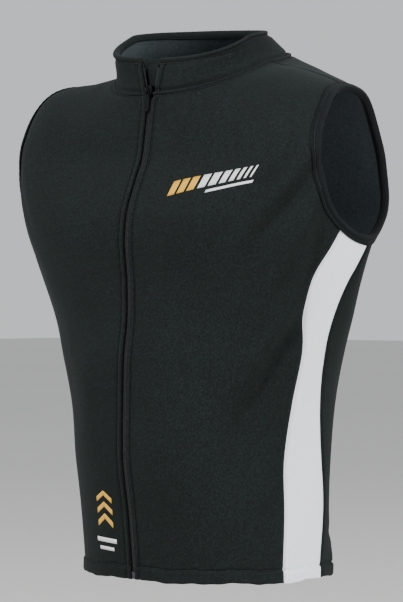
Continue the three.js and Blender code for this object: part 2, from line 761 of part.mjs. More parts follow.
function slider() {
  const half = sliderHeight / 2;
  const rearFront = slotFloor + 2 * layerGap + tapeWall;
  const body = mirrored([
    [sliderHalf * 0.62, -half],
    [sliderHalf, half * 0.35],
    [sliderHalf * 0.8, half],
  ]);
  const post = block(-sliderPost, sliderPost, faceDepth + sink, rearFront + sink, 0, half - sink);
  const outerRadius = archRadius + archWall / 2;
  const innerRadius = archRadius - archWall / 2;
  const arch = new THREE.Shape();
  arch.moveTo(outerRadius, faceDepth + sink);
  arch.lineTo(outerRadius, 0);
  arch.absarc(0, 0, outerRadius, 0, -Math.PI, true);
  arch.lineTo(-outerRadius, faceDepth + sink);
  arch.lineTo(-innerRadius, faceDepth + sink);
  arch.lineTo(-innerRadius, 0);
  arch.absarc(0, 0, innerRadius, -Math.PI, 0, false);
  arch.lineTo(innerRadius, faceDepth + sink);
  arch.closePath();
  const loop = new THREE.ExtrudeGeometry(arch, { depth: 2 * archHalf, bevelEnabled: false, curveSegments });
  loop.translate(0, 0, -archHalf);
  loop.rotateY(-Math.PI / 2);
  return toGeometry(plate(body, faceDepth, slotFloor)
    .add(plate(body, rearFront, rearFront + sliderRear))
    .add(post)
    .add(toSolid(loop)));
}

// The pull: a bar under the slider's arch, two cheeks beside it and a tab
function pull() {
  const windowHalf = archHalf + pullClear;
  const windowFoot = archRadius + archWall / 2 + pullClear;
  const bar = new THREE.CylinderGeometry(pullBar, pullBar, 2 * (windowHalf + sink), 10);
  bar.rotateZ(Math.PI / 2);
  const cheekHalf = pullHalf * 0.62;
  const tab = new THREE.Shape();
  tab.moveTo(-cheekHalf, pullBar);
  tab.lineTo(-cheekHalf, -windowFoot - pullWaist);
  tab.lineTo(-pullHalf, -windowFoot - pullShoulder);
  tab.absarc(0, -pullLength + pullHalf, pullHalf, Math.PI, 2 * Math.PI, false);
  tab.lineTo(pullHalf, -windowFoot - pullShoulder);
  tab.lineTo(cheekHalf, -windowFoot - pullWaist);
  tab.lineTo(cheekHalf, pullBar);
  tab.closePath();
  const window = block(-windowHalf, windowHalf, -pullWall, pullWall, -windowFoot, pullBar + sink);
  return toGeometry(plate(tab, -pullWall / 2, pullWall / 2).subtract(window).add(toSolid(bar)));
}
const leanOf = (upward) => -Math.atan2(upward.y, upward.z);
const sliderSeat = new THREE.Group();
sliderSeat.position.copy(skin(centreFront, sliderAt, sliderProud + faceDepth));
sliderSeat.rotation.x = leanOf(frameAt(centreFront, sliderAt).upward);
vest.add(sliderSeat);
add('zip_slider', slider(), zipMetal, sliderSeat);

// The pull hangs along the slider, or further out where the chest stands prouder below
function leanOver(share) {
  const at = sliderAt - (share * pullLength) / perRing(centreFront, sliderAt - share / 2);
  const chest = skin(centreFront, at, pullWall / 2 + placketSwell + pullClear);
  return leanOf(sliderSeat.position.clone().sub(chest));
}
const pullSeat = new THREE.Group();
pullSeat.position.copy(sliderSeat.position);
pullSeat.rotation.x = Math.min(sliderSeat.rotation.x, ...[0.25, 0.5, 0.75, 1].map(leanOver));
vest.add(pullSeat);
add('zip_pull', pull(), zipMetal, pullSeat);

export default vest;
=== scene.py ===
import bpy
import numpy as np
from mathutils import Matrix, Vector, noise


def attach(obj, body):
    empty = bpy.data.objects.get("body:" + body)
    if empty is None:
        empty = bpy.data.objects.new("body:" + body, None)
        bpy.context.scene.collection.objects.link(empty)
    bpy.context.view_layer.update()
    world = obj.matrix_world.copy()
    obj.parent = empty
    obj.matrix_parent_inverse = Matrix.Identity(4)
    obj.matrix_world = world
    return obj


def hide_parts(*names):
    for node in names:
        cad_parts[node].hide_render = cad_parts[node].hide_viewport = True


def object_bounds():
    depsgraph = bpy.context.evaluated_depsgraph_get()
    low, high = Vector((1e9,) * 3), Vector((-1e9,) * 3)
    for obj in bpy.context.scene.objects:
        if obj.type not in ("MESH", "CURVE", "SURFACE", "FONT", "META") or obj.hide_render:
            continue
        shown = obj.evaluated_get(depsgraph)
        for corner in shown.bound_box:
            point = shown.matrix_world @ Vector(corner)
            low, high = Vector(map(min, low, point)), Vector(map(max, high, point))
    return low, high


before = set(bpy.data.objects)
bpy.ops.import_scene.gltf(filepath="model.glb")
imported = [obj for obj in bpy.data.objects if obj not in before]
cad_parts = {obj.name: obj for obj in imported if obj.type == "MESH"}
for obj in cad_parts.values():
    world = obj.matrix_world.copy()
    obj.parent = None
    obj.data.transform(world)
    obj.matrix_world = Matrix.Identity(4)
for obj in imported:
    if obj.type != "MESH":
        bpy.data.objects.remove(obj)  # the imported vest: its bodies, nodes, joints and record
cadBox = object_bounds()
mm = 0.001
sides = ("left", "right")

print("camera and lamps")
viewSettings = {
    "azimuth": 43.0,          # degrees round from the front, towards the wearer's left
    "distance": 2.676,
    "targetHeight": -0.2504,
    "targetLeft": 0.005,      # how far the target lies left of the shoulders, in the picture
    "lens": 144.0, "sensor": 36.0, "clip": (0.1, 60.0),
}
lampSettings = [
    # name, direction from the vest (x, y, z), distance, size, watts
    ("keyLamp", (-0.02, -0.95, 0.75), 2.8, 0.4, 72.0),
    ("fillLamp", (1.0, -0.08, 0.15), 3.0, 0.8, 68.0),
    ("rimLamp", (0.55, 1.0, 0.9), 2.6, 0.9, 14.0),
]


def addObject(name, data):
    made = bpy.data.objects.new(name, data)
    bpy.context.scene.collection.objects.link(made)
    return made


def makeCamera(view):
    turn = np.radians(view["azimuth"])
    back = Vector((np.sin(turn), -np.cos(turn), 0))
    right = Vector((np.cos(turn), np.sin(turn), 0))
    target = Vector((0, 0, view["targetHeight"])) - right * view["targetLeft"]
    data = bpy.data.cameras.new("camera")
    data.lens = view["lens"]
    data.sensor_width = view["sensor"]
    data.clip_start, data.clip_end = view["clip"]
    camera = addObject("camera", data)
    camera.location = target + back * view["distance"]
    camera.rotation_euler = (-back).to_track_quat("-Z", "Y").to_euler()
    bpy.context.scene.camera = camera


def makeLamps(lamps):
    middle = (cadBox[0] + cadBox[1]) / 2
    for name, direction, distance, size, watts in lamps:
        data = bpy.data.lights.new(name, "AREA")
        data.shape = "DISK"
        data.size = size
        data.energy = watts
        lamp = addObject(name, data)
        away = Vector(direction).normalized()
        lamp.location = middle + away * distance
        lamp.rotation_euler = (-away).to_track_quat("-Z", "Y").to_euler()


makeCamera(viewSettings)
makeLamps(lampSettings)

print("form of the vest")
# Lengths are in millimetres. Angles go round the body in degrees: 0 is the wearer's left,
# -90 the centre front, 90 the centre back. Heights are counted in rings, up from the hem.
formSettings = {
    "bodyLength": 550, "halfWidth": 235, "frontDepth": 130, "backDepth": 116, "leftDrop": 6,
    "neckHalfWidth": 99, "neckFrontDepth": 79, "neckBackDepth": 94, "neckForward": 11,
    "collarHeight": 41, "collarHalfWidth": 89, "collarFrontDepth": 60, "collarBackDepth": 82,
    "collarForward": 29, "heightBlend": 0.8,
}
# Columns: drop at the side, front and back (of bodyLength), width, chest and spine (of halfWidth,
# frontDepth and backDepth), how square the front and back are, lower (of leftDrop)
bodyRings = [
    (1, 1, 1, 0.6, 0.875, 1, 2.3, 2.2, 0),  # hem
    (0.87, 0.87, 0.87, 0.61, 0.935, 1, 2.3, 2.2, 0),
    (0.765, 0.765, 0.765, 0.625, 1, 1, 2.3, 2.2, 0),
    (0.66, 0.66, 0.66, 0.66, 1, 0.98, 2.3, 2.2, 0),  # waist
    (0.565, 0.565, 0.565, 0.738, 0.99, 0.92, 2.35, 2.15, 0),
    (0.493, 0.493, 0.493, 0.815, 0.95, 0.85, 2.35, 2.1, 0),
    (0.417, 0.417, 0.417, 0.895, 0.95, 0.77, 2.5, 2, 0),  # ribs
    (0.344, 0.34, 0.347, 0.96, 0.98, 0.75, 2.7, 2.05, 0.1),
    (0.278, 0.278, 0.278, 0.985, 0.95, 0.8, 3.2, 2.7, 0.3),  # chest
    (0.2, 0.217, 0.208, 1, 0.85, 0.79, 4, 2.7, 0.8),
    (0.12, 0.174, 0.13, 0.995, 0.775, 0.755, 4.2, 2.6, 1.5),  # mid arm
    (0.034, 0.125, 0.043, 0.885, 0.74, 0.705, 3.4, 2.4, 1.8),
    (0.002, 0.087, -0.019, 0.63, 0.715, 0.705, 2.6, 2.3, 0.4),  # mid shoulder
]
neckDrop = (-0.022, 0.041, -0.059)      # side, front, back, of bodyLength
neckShape = (2.3, 2.1, 0.35, 0.48)      # square front, square back, lower, blend
collarRise = (0.74, 0.88, 0.56)         # side, front, back, of collarHeight above the neck
collarShape = (2.55, 1.9, 1, 0.37)

# Soft folds. Columns: angle, ring, half width across, half length along, slant, height
folds = [
    (-48.4, 9.2, 3, 1.5, 3.4, -5.4),      # from the armhole's front edge down to the chest
    (-43.8, 8.8, 3, 1.4, 4.5, 4),
    (-42.4, 7.8, 3.8, 1.7, 5.2, -7),
    (-35.3, 7, 3.6, 1.5, 3.5, 4.4),
    (-27, 6.6, 3, 1.4, -0.5, -3.2),
    (-27.8, 4.2, 4.8, 1.3, 6, -7.4),      # from the side seam at the waist
    (-37, 3.8, 4.8, 1.3, 5, 4.2),
    (-63, 2, 12, 1.5, 2, 1.4),
    (-57, 2.9, 15, 0.7, 0, 2.8),
    (-37, 1.7, 8, 1.3, 0, -2.8),
    (-114, 7.8, 12, 1, 0, 3),
    (-66, 7.7, 13, 0.7, 0, 1.8),
    (-112, 3.1, 10, 0.9, -1, 2.6),
    (-140, 5.8, 7, 2, -1.5, -2),
    (45, 3, 8, 1.6, 1, -2.4),
    (138, 3.2, 8, 1.6, -1, -2),
    (90, 5, 9, 2.4, 0, -2.6),
    (-118, 14.1, 16, 0.6, 0, 4.2),        # the collar leaning out on the wearer's right
    (-114, 13.25, 14, 0.35, 0, -1.8),
    (38, 0.25, 8, 0.42, 0, 5),            # the hem bunched behind each side panel
    (142, 0.25, 8, 0.42, 0, 4.4),
    (-52, 9.6, 2, 1.1, 3, -0.6),          # finer creases
    (-30, 8.3, 1.8, 0.8, 4, -0.7),
    (-48, 6.2, 2.4, 1, 4, -0.6),
    (-30, 5.2, 2.2, 0.7, 6, 0.8),
    (-58, 5, 3, 1.1, 2, -0.5),
    (-70, 4.4, 4, 1.1, 2, -0.6),
    (-55, 1.2, 3, 0.6, 5, -0.7),
    (-30, 1, 2.6, 0.5, 8, 0.7),
    (-24, 0.9, 2.2, 0.5, 8, -0.7),
    (-44, 0.9, 2.4, 0.5, 3, 0.6),
    (-128, 4.2, 4, 1.2, -2, -0.8),
    (-150, 7.4, 2.6, 0.9, -6, -1),
    (-137, 8.6, 2.6, 1.2, -4, -1.6),
    (60, 6.6, 4, 1.2, 4, -0.9),
    (122, 6.4, 4, 1.2, -4, -0.9),
    (52, 9, 3, 1.4, -4, -1.6),
    (128, 9, 3, 1.4, 4, -1.6),
    (90, 11.6, 12, 0.5, 0, -1.2),
    (38, 0.62, 6, 0.1, 0, -1.8),
    (34, 0.4, 4, 0.07, 0, -1.4),
    (142, 0.6, 6, 0.1, 0, -1.6),
]
unevenness = [(50.0, 0.34), (9.0, 0.09)]   # size and height of the cloth's soft dents
# The hem's slight waves: height in mm, waves round the body and their start in degrees
hemWaves = [(0.9, 7, 20.0), (0.55, 17, 40.0), (0.3, 41, 0.0)]
hemWaveReach = 0.4                          # rings above the hem at which the waves end


def makeRings(f):
    scale = np.array([-f["bodyLength"]] * 3 + [f["halfWidth"], f["frontDepth"], f["backDepth"]])
    rows = []
    for ring in bodyRings:
        sizes = list(np.array(ring[:6]) * scale)
        rows.append(sizes + [0, ring[6], ring[7], ring[8] * f["leftDrop"], f["heightBlend"]])
    heights = -np.array(neckDrop) * f["bodyLength"]
    for part, shape, tall in (("neck", neckShape, (0, 0, 0)), ("collar", collarShape, collarRise)):
        sizes = [f[part + "HalfWidth"], f[part + "FrontDepth"], f[part + "BackDepth"]]
        rise = heights + np.array(tall) * f["collarHeight"]
        lower = shape[2] * f["leftDrop"]
        rows.append([*rise, *sizes, -f[part + "Forward"], shape[0], shape[1], lower, shape[3]])
    return np.array(rows, float)


rings = makeRings(formSettings)
neckAt = len(bodyRings)
collarAt = neckAt + 1


def mix(a, b, share):
    return a + (b - a) * share


def smooth(low, high, value):
    share = np.clip((value - low) / (high - low), 0, 1)
    return share * share * (3 - 2 * share)


def mirrored(angle, side):
    return angle if side == "left" else 180 - angle


def through(rows, at):  # a smooth curve through the rows of a table
    at = np.asarray(at, float)
    last = len(rows) - 1
    i = np.clip(np.floor(at).astype(int), 0, last - 1)
    u = (at - i)[..., None]
    p1, p2 = rows[i], rows[i + 1]
    before = np.where((i > 0)[..., None], rows[np.maximum(i - 1, 0)], 2 * p1 - p2)
    after = np.where((i + 2 <= last)[..., None], rows[np.minimum(i + 2, last)], 2 * p2 - p1)
    turn = 2 * before - 5 * p1 + 4 * p2 - after
    bend = 3 * p1 - before - 3 * p2 + after
    return p1 + 0.5 * u * (p2 - before + u * (turn + u * bend))


def form(angle, at):  # the smooth outer form
    side, front, back, width, chest, spine, forward, flatFront, flatBack, lower, blend = np.moveaxis(
        through(rings, at), -1, 0)
    c, s = np.cos(np.radians(angle)), np.sin(np.radians(angle))
    isFront = s < 0
    flat = np.where(isFront, flatFront, flatBack)
    reach = (np.abs(c) ** flat + np.abs(s) ** flat) ** (-1 / flat)
    tilt = np.abs(reach * s) ** (blend * flat)
    end = np.where(isFront, front, back)
    return np.stack([
        width * reach * c,
        forward + np.where(isFront, chest, spine) * reach * s,
        side + (end - side) * tilt - lower * reach * c,
    ], axis=-1)


def framesAt(angle, at, probe=0.02):  # per degree, per ring and straight out
    around = (form(angle + probe, at) - form(angle - probe, at)) / (2 * probe)
    low, high = np.maximum(at - probe, 0), np.minimum(at + probe, collarAt)
    upward = (form(angle, high) - form(angle, low)) / (high - low)[..., None]
    out = np.cross(around, upward)
    return around, upward, out / np.linalg.norm(out, axis=-1, keepdims=True)


def perDegree(angle, at):
    return np.linalg.norm(framesAt(angle, at)[0], axis=-1)


def perRing(angle, at):
    return np.linalg.norm(framesAt(angle, at)[1], axis=-1)


def foldHeight(angle, at):
    total = 0
    for foldAngle, ring, across, along, slant, height in folds:
        turn = (angle - foldAngle - slant * (at - ring) + 540) % 360 - 180
        total = total + height * np.exp(-(turn / across) ** 2 - ((at - ring) / along) ** 2)
    return total


def softDents(points):
    flatPoints = points.reshape(-1, 3)
    total = np.zeros(len(flatPoints))
    for size, height in unevenness:
        total += height * np.array([noise.noise(Vector(p)) for p in (flatPoints / size).tolist()])
    return total.reshape(points.shape[:-1])


def hemWave(angle, at):
    fromZip = np.abs((angle + 270) % 360 - 180)
    total = sum(height * np.sin(np.radians(count * angle + start)) for height, count, start in hemWaves)
    return total * smooth(7, 18, fromZip) * (1 - smooth(0, hemWaveReach, at))


def cloth(angle, at):  # points of the folded outer face and the directions out of it
    out = framesAt(angle, at)[2]
    plain = form(angle, at)
    folded = plain + out * (foldHeight(angle, at) + softDents(plain))[..., None]
    folded[..., 2] += hemWave(angle, at)
    return folded, out


def skin(angle, at, height):
    points, out = cloth(angle, at)
    return points + out * np.broadcast_to(height, points.shape[:-1])[..., None]


def besideZip(distance, at):
    width = through(rings, at)[..., 3]
    return -90 + np.degrees(np.arcsin(np.clip(distance / width, -1, 1)))


print("seams and edges")
clothSettings = {
    "wall": 3.0, "thinnest": 0.6, "seamGap": 0.12, "layerGap": 0.3,
    "edgeRound": 1.35,                     # rounding of a folded edge
    "seamSink": 2.0, "seamReach": 2.4,     # how a seam pulls the cloth in
    "stitchSink": 1.3, "stitchReach": 1.35,
    "hemHeight": 14.0, "hemSwell": 1.2, "hemFlare": 1.6, "hemRound": 2.0,
    # the neck seam's turned edges, stitched down below it
    "neckBand": 5.6, "neckSwell": 1.6, "neckSink": 1.9, "neckReach": 1.9,
    "puckerHeight": 0.2, "puckerPitch": 8.5, "puckerReach": 9.0,
}
cellCounts = {
    "body": 118, "armhole": 54, "shoulder": 24, "front": 50, "back": 118, "side": 106, "sideTop": 12,
    "sideAcross": 22,
}
zipSettings = {
    "slotHalf": 3.1, "slotAtNeck": 5.6, "slotAtTop": 15.0, "slotOpensBelow": 0.6, "slotBow": 0.7,
    "band": 6.5, "bandSwell": 1.2, "bandRound": 1.5, "bandSink": 2.0, "bandReach": 1.7,
    "tapeWall": 1.0, "tapeWidth": 11.5, "tapeShowing": 1.6, "tapeBelowRoll": 1.5,
    "boxHeight": 8.0, "stopHeight": 3.2, "sliderHeight": 11.0,
    "chainClear": 0.8, "chainDepth": 2.1, "chainHalf": 1.1, "teethWidth": 2.4,
    "guardStart": -13, "guardEnd": 30, "guardBelowNeck": 46, "guardWall": 1.1,
}
# Front and back edges of the side panel, one row for each ring, and of the armhole, one row for
# each 30 degrees of its clock from the lowest point to the top, in degrees round the body
sideEdges = np.array([(-14, 17), (-13, 21), (-14, 15.5), (-13, 8), (-15, 0), (-21, -3.7), (-24, -2),
                      (-20, 6), (-17, 10)], float)
armholeEdge = np.array([(4, 4), (-12.5, 19), (-25.5, 29), (-33.5, 35), (-34.5, 36.5), (-20, 26),
                        (2, 2)], float)
armhole = {"low": 7.17, "top": 11.13, "step": 30.0, "meetsFront": 36.0, "meetsBack": 8.0}
shoulderAngle = 2.0
seamTopAt = 6.5
drawRings = 2.0
midFront, centreFront, frontSeam, backSeam = -60.0, -90.0, -20.0, 20.0
beside = 0.1

# Steps in mm in from a seam, a zip edge, the neck seam and the hem
seamSteps = np.array([0, 0.25, 0.55, 0.9, 1.3, 1.8, 2.4, 3.2, 4.4, 6.2])
bandSteps = np.array([0, 0.25, 0.6, 1, 1.6, 2.6, 3.8, 4.8, 5.4, 5.8, 6.15, 6.5, 6.85, 7.2, 7.7, 8.6,
                      10.2, 12.4])
neckSteps = np.array([0, 0.25, 0.55, 0.9, 1.3, 1.8, 2.4, 3.1, 3.8, 4.4, 5, 5.6, 6.2, 6.8, 7.6, 8.8, 10.4])
hemSteps = np.array([0, 0.25, 0.6, 1.1, 1.7, 2.6, 4.2, 6.2, 8.2, 10.2, 11.6, 12.5, 13.1, 13.6, 14, 14.4,
                     14.9, 15.6, 16.8, 18.8, 21.6])

hemTopAt = clothSettings["hemHeight"] / perRing(midFront, beside)
slotOpensAt = neckAt - zipSettings["slotOpensBelow"]


def slotEdge(at):  # half width of the zip slot
    z = zipSettings
    below = mix(z["slotHalf"], z["slotAtNeck"], np.clip((at - slotOpensAt) / (neckAt - slotOpensAt), 0, 1))
    above = mix(z["slotAtNeck"], z["slotAtTop"], np.clip(at - neckAt, 0, 1) ** z["slotBow"])
    return np.where(at <= neckAt, below, above)


def clockToRing(clock):
    return mix(armhole["low"], armhole["top"], (1 - np.cos(np.radians(clock))) / 2)


def ringToClock(at):
    share = np.clip((at - armhole["low"]) / (armhole["top"] - armhole["low"]), 0, 1)
    return np.degrees(np.arccos(1 - 2 * share))


def armholeAngle(clock):
    front, back = np.moveaxis(through(armholeEdge, np.abs(clock) / armhole["step"]), -1, 0)
    return np.where(np.asarray(clock) < 0, back, front)


frontMeets = clockToRing(armhole["meetsFront"])
backMeets = clockToRing(armhole["meetsBack"])


def sideSeam(at, column):  # column 0 is the front seam, 1 the back one
    meets = (frontMeets, backMeets)[column]
    clock = (armhole["meetsFront"], -armhole["meetsBack"])[column]
    missing = armholeAngle(clock) - through(sideEdges, meets)[..., column]
    drawn = np.clip((at - meets + drawRings) / drawRings, 0, 1) ** 2
    return through(sideEdges, at)[..., column] + missing * drawn


def seamInset(angle, at):
    return clothSettings["seamGap"] / 2 / perDegree(angle, np.clip(at, 0, neckAt))


def panelEdge(at, column):  # outer edge of a front (0) or of the back (1), on the wearer's left
    sign = (-1, 1)[column]
    meets = (frontMeets, backMeets)[column]
    low = sideSeam(at, column) + sign * seamInset((frontSeam, backSeam)[column], at)
    hole = armholeAngle(-sign * ringToClock(at))
    top = shoulderAngle + sign * seamInset(shoulderAngle, at)
    return np.where(at <= meets, low, np.where(at < armhole["top"], hole, top))


def edgeRound(distance, radius):  # how far a rounded edge drops, at a distance from it
    inside = radius - np.clip(distance, 0, radius)
    return radius - np.sqrt(np.maximum(radius ** 2 - inside ** 2, 0))


def groove(distance, sink=clothSettings["stitchSink"], reach=clothSettings["stitchReach"]):
    return sink * np.exp(-(distance / reach) ** 2)


def seamValley(distance):
    return groove(distance, clothSettings["seamSink"], clothSettings["seamReach"])


def pucker(distance, along, strength=1.0):  # small gathers beside a line of stitches
    c = clothSettings
    wave = np.sin(2 * np.pi * along / c["puckerPitch"] + 1.7 * np.sin(along / 23.0))
    return strength * c["puckerHeight"] * wave * np.exp(-(distance / c["puckerReach"]) ** 2)


def evenBetween(first, last, count):  # two blocks of columns with even ones between them
    even = mix(first[:, -1:], last[:, :1], np.linspace(0, 1, count)[1:-1])
    return np.concatenate([first, even, last], axis=1)


def lengths(points, axis):  # distance run along a line, or the rows or columns of a grid
    steps = np.linalg.norm(np.diff(points, axis=axis), axis=-1)
    start = np.zeros_like(np.take(steps, [0], axis=axis))
    return np.concatenate([start, np.cumsum(steps, axis=axis)], axis=axis)


def turnedEdge(distance, swell, rise, fall):  # swell of cloth turned under, between these distances
    return swell * smooth(*rise, distance) * (1 - smooth(*fall, distance))


def hemProfile(up):  # swell and the groove of the stitches, as in the next two
    c = clothSettings
    flare = np.clip(1 - up / c["hemHeight"], 0, 1) * c["hemFlare"]
    swell = turnedEdge(up, c["hemSwell"], (-2, -1), (c["hemHeight"] - 1.6, c["hemHeight"] - 0.2))
    return swell + flare, groove(up - c["hemHeight"])


def bandProfile(distance):
    z = zipSettings
    swell = turnedEdge(distance, z["bandSwell"], (0, z["bandRound"]), (z["band"] - 1.2, z["band"] - 0.2))
    return swell, groove(distance - z["band"], z["bandSink"], z["bandReach"])


def neckProfile(down):
    c = clothSettings
    swell = turnedEdge(down, c["neckSwell"], (0.4, 1.5), (c["neckBand"] - 1.5, c["neckBand"] - 0.3))
    return swell, groove(down - c["neckBand"], c["neckSink"], c["neckReach"])


print("materials")
# Cloths. Columns: dark, middle and light shade, sizes in mm of mottle, grain, wale and course, bump
# depth in mm, roughness, sheen and its tint. The real knit of about 0.7 mm would not show, so it is
# drawn about twice as coarse.
clothFinishes = {
    # smooth-faced softshell: deep black with a fine fleck, dull
    "softshell_knit_black": ("#0c100f", "#131918", "#1c2221", 90, 2, 1.5, 1.3, 0.16, 0.86, 0.08, "#7d8688"),
    # stretch jersey: even and bright, with a faint sheen
    "stretch_jersey_white": ("#eeeff6", "#f5f6fb", "#fafbff", 60, 2, 1.4, 1.2, 0.07, 0.72, 0.1, "#ffffff"),
    # folded elastic: ribbed lengthwise
    "folded_elastic_grey": ("#060909", "#0a0e10", "#0f1517", 24, 1.4, 2.2, 1, 0.12, 0.74, 0.05, "#a2abad"),
    # brushed linings: soft, hazy and a lighter grey than the face. Two copies of one lining, each painted
    # lighter still as painted light that stands in for the light reaching inside the armholes and inside the
    # collar; the armholes' copy is the lighter
    "brushed_lining_grey_painted_light": ("#50575b", "#5d6569", "#6b7377", 70, 2.4, 2, 2, 0.14, 0.92, 0.15, "#8e97a6"),
    "brushed_facing_grey_painted_light": ("#33393b", "#3b4245", "#454c4f", 70, 2.4, 2, 2, 0.14, 0.92, 0.12, "#8e97a6"),
    # woven tape: tight and flat; also laid on the bindings' turn and inner leg as painted shade
    "woven_tape_black": ("#0b0d0e", "#101314", "#181b1d", 12, 1, 1.1, 1.1, 0.08, 0.75, 0.1, "#808488"),
}
# Plain finishes: the shader's values, the noise's detail, the place and brightness of two shades,
# the strength and depth in mm of the bump
plainFinishes = {
    # plated zinc, tumbled: dark mirror plating with fine scuffs, lighter where it is rubbed
    "metal": ({"Metallic": 1.0}, 4.0, [(0.35, 1), (0.75, 1.6)], (0.2, 0.02)),
    # nylon monofilament and polyester thread: smooth, faintly ribbed, a soft shine
    "thread": ({"IOR": 1.53}, 2.0, [(0.35, 1), (0.7, 1.5)], (0.25, 0.05)),
    # heat-pressed print: a thin satin film that takes up the knit under it
    "print": ({"IOR": 1.48}, 2.0, [(0.3, 0.8), (0.5, 1)], (0.4, 0.08)),
    # matt painted floor: a broad, barely seen cloudiness
    "floor": ({}, 2.0, [(0.3, 0.96), (0.7, 1)], None),
}
# Columns: finish, colour, roughness, size of the noise in mm
plainMaterials = {
    "nylon_coil_black": ("thread", "#0e1112", 0.62, 1.2),
    "polyester_thread_black": ("thread", "#1b1f20", 0.55, 0.6),
    "polyester_thread_white": ("thread", "#cfd0d8", 0.55, 0.6),
    "plated_zinc_gunmetal": ("metal", "#1d1f21", 0.48, 1.5),
    "plated_zinc_grey": ("metal", "#505256", 0.5, 1.5),
    "pressed_print_white": ("print", "#e4e4e6", 0.42, 1.6),
    "pressed_print_amber": ("print", "#e3ad2f", 0.42, 1.6),
    "matt_painted_floor": ("floor", "#cfcfcc", 0.9, 1666.7),
}


def toLinear(hexColour, brightness=1.0):
    parts = [int(hexColour[i:i + 2], 16) / 255 for i in (1, 3, 5)]
    linear = [c / 12.92 if c <= 0.04045 else ((c + 0.055) / 1.055) ** 2.4 for c in parts]
    return (*(min(c * brightness, 1) for c in linear), 1)


def addNode(tree, kind, settings=None, links=None):
    node = tree.nodes.new(kind)
    for name, value in (settings or {}).items():
        if name in node.inputs:
            node.inputs[name].default_value = value
        else:
            setattr(node, name, value)
    for name, source in (links or {}).items():
        tree.links.new(source, node.inputs[name])
    return node


def startMaterial(name, shaderSettings):
    material = bpy.data.materials.new(name)
    material.use_nodes = True
    tree = material.node_tree
    tree.nodes.clear()
    shader = addNode(tree, "ShaderNodeBsdfPrincipled", shaderSettings)
    addNode(tree, "ShaderNodeOutputMaterial", {}, {"Surface": shader.outputs["BSDF"]})
    return material, tree, shader


def ramp(tree, factor, stops):
    node = addNode(tree, "ShaderNodeValToRGB", {}, {"Fac": factor})
    elements = node.color_ramp.elements
    while len(elements) < len(stops):
        elements.new(0.5)
    for element, (place, colour) in zip(elements, stops):
        element.position = place
        element.color = colour
    return node.outputs["Color"]


def noiseOver(tree, millimetres, detail, roughness=0.5):
    place = addNode(tree, "ShaderNodeTexCoord").outputs["Object"]
    return addNode(tree, "ShaderNodeTexNoise", {"Scale": 1 / (millimetres * mm), "Detail": detail,
                   "Roughness": roughness}, {"Vector": place}).outputs["Fac"]


def bandsOver(tree, millimetres, direction, distortion):  # bands that repeat at this size on the cloth
    place = addNode(tree, "ShaderNodeTexCoord").outputs["UV"]
    return addNode(tree, "ShaderNodeTexWave", {
        "Scale": 0.31416 / (millimetres * mm), "bands_direction": direction, "Distortion": distortion,
        "Detail": 1.0, "Detail Scale": 2.0}, {"Vector": place}).outputs["Fac"]


def addBump(tree, shader, heights):  # heights: (socket, strength, depth in mm), the finest last
    links = {}
    for height, strength, depth in heights:
        bump = addNode(tree, "ShaderNodeBump", {"Strength": strength, "Distance": depth * mm},
                       {"Height": height, **links})
        links = {"Normal": bump.outputs["Normal"]}
    tree.links.new(bump.outputs["Normal"], shader.inputs["Normal"])


def makeClothMaterial(name, finish):
    *shades, mottleSize, grainSize, wale, course, depth, roughness, sheen, sheenTint = finish
    material, tree, shader = startMaterial(name, {
        "Roughness": roughness, "Sheen Weight": sheen, "Sheen Roughness": 0.45,
        "Sheen Tint": toLinear(sheenTint), "Specular IOR Level": 0.14,
    })
    mottle = noiseOver(tree, mottleSize, 3.0, 0.55)
    grain = noiseOver(tree, grainSize, 2.0, 0.6)
    both = addNode(tree, "ShaderNodeMath", {"operation": "MULTIPLY"})
    tree.links.new(bandsOver(tree, wale, "X", 0.6), both.inputs[0])
    tree.links.new(bandsOver(tree, course, "Y", 0.8), both.inputs[1])
    knit = both.outputs[0]  # stitches of a jersey face: upright wales, broken by courses
    shade = addNode(tree, "ShaderNodeMix", {"data_type": "FLOAT", "Factor": 0.82}, {"A": mottle, "B": grain})
    withKnit = addNode(tree, "ShaderNodeMix", {"data_type": "FLOAT", "Factor": 0.14},
                       {"A": shade.outputs["Result"], "B": knit})
    stops = list(zip((0.32, 0.47, 0.62), map(toLinear, shades)))
    tree.links.new(ramp(tree, withKnit.outputs["Result"], stops), shader.inputs["Base Color"])
    addBump(tree, shader, [(grain, 0.35, depth), (knit, 0.55, depth)])
    return material


def makePlainMaterial(name, kind, colour, roughness, size):
    values, detail, stops, bump = plainFinishes[kind]
    material, tree, shader = startMaterial(name, {"Roughness": roughness, **values})
    grain = noiseOver(tree, size, detail)
    shades = [(place, toLinear(colour, brightness)) for place, brightness in stops]
    tree.links.new(ramp(tree, grain, shades), shader.inputs["Base Color"])
    if kind == "metal":
        rough = addNode(tree, "ShaderNodeMapRange", {
            "From Min": 0.3, "From Max": 0.7, "To Min": roughness * 0.8, "To Max": roughness * 1.4},
            {"Value": grain})
        tree.links.new(rough.outputs["Result"], shader.inputs["Roughness"])
    if bump:
        addBump(tree, shader, [(grain, *bump)])
    return material


# the lining and facing copies carry painted light inside the vest; the woven tape also serves as painted shade
# on the bindings' inner legs
blackCloth, whiteCloth, bindingCloth, liningClothPaintedLight, facingClothPaintedLight, tapeCloth = (
    makeClothMaterial(name, finish) for name, finish in clothFinishes.items())
coilNylon, blackThread, whiteThread, platedZinc, boxZinc, inkWhite, inkAmber, floorPaint = (
    makePlainMaterial(name, *finish) for name, finish in plainMaterials.items())

print("stage")
stageSettings = {
    "floorGap": 0.16,         # floor below the hem
    "floorSize": 40.0, "worldColour": "#d4d6d8", "worldStrength": 1.05,
}


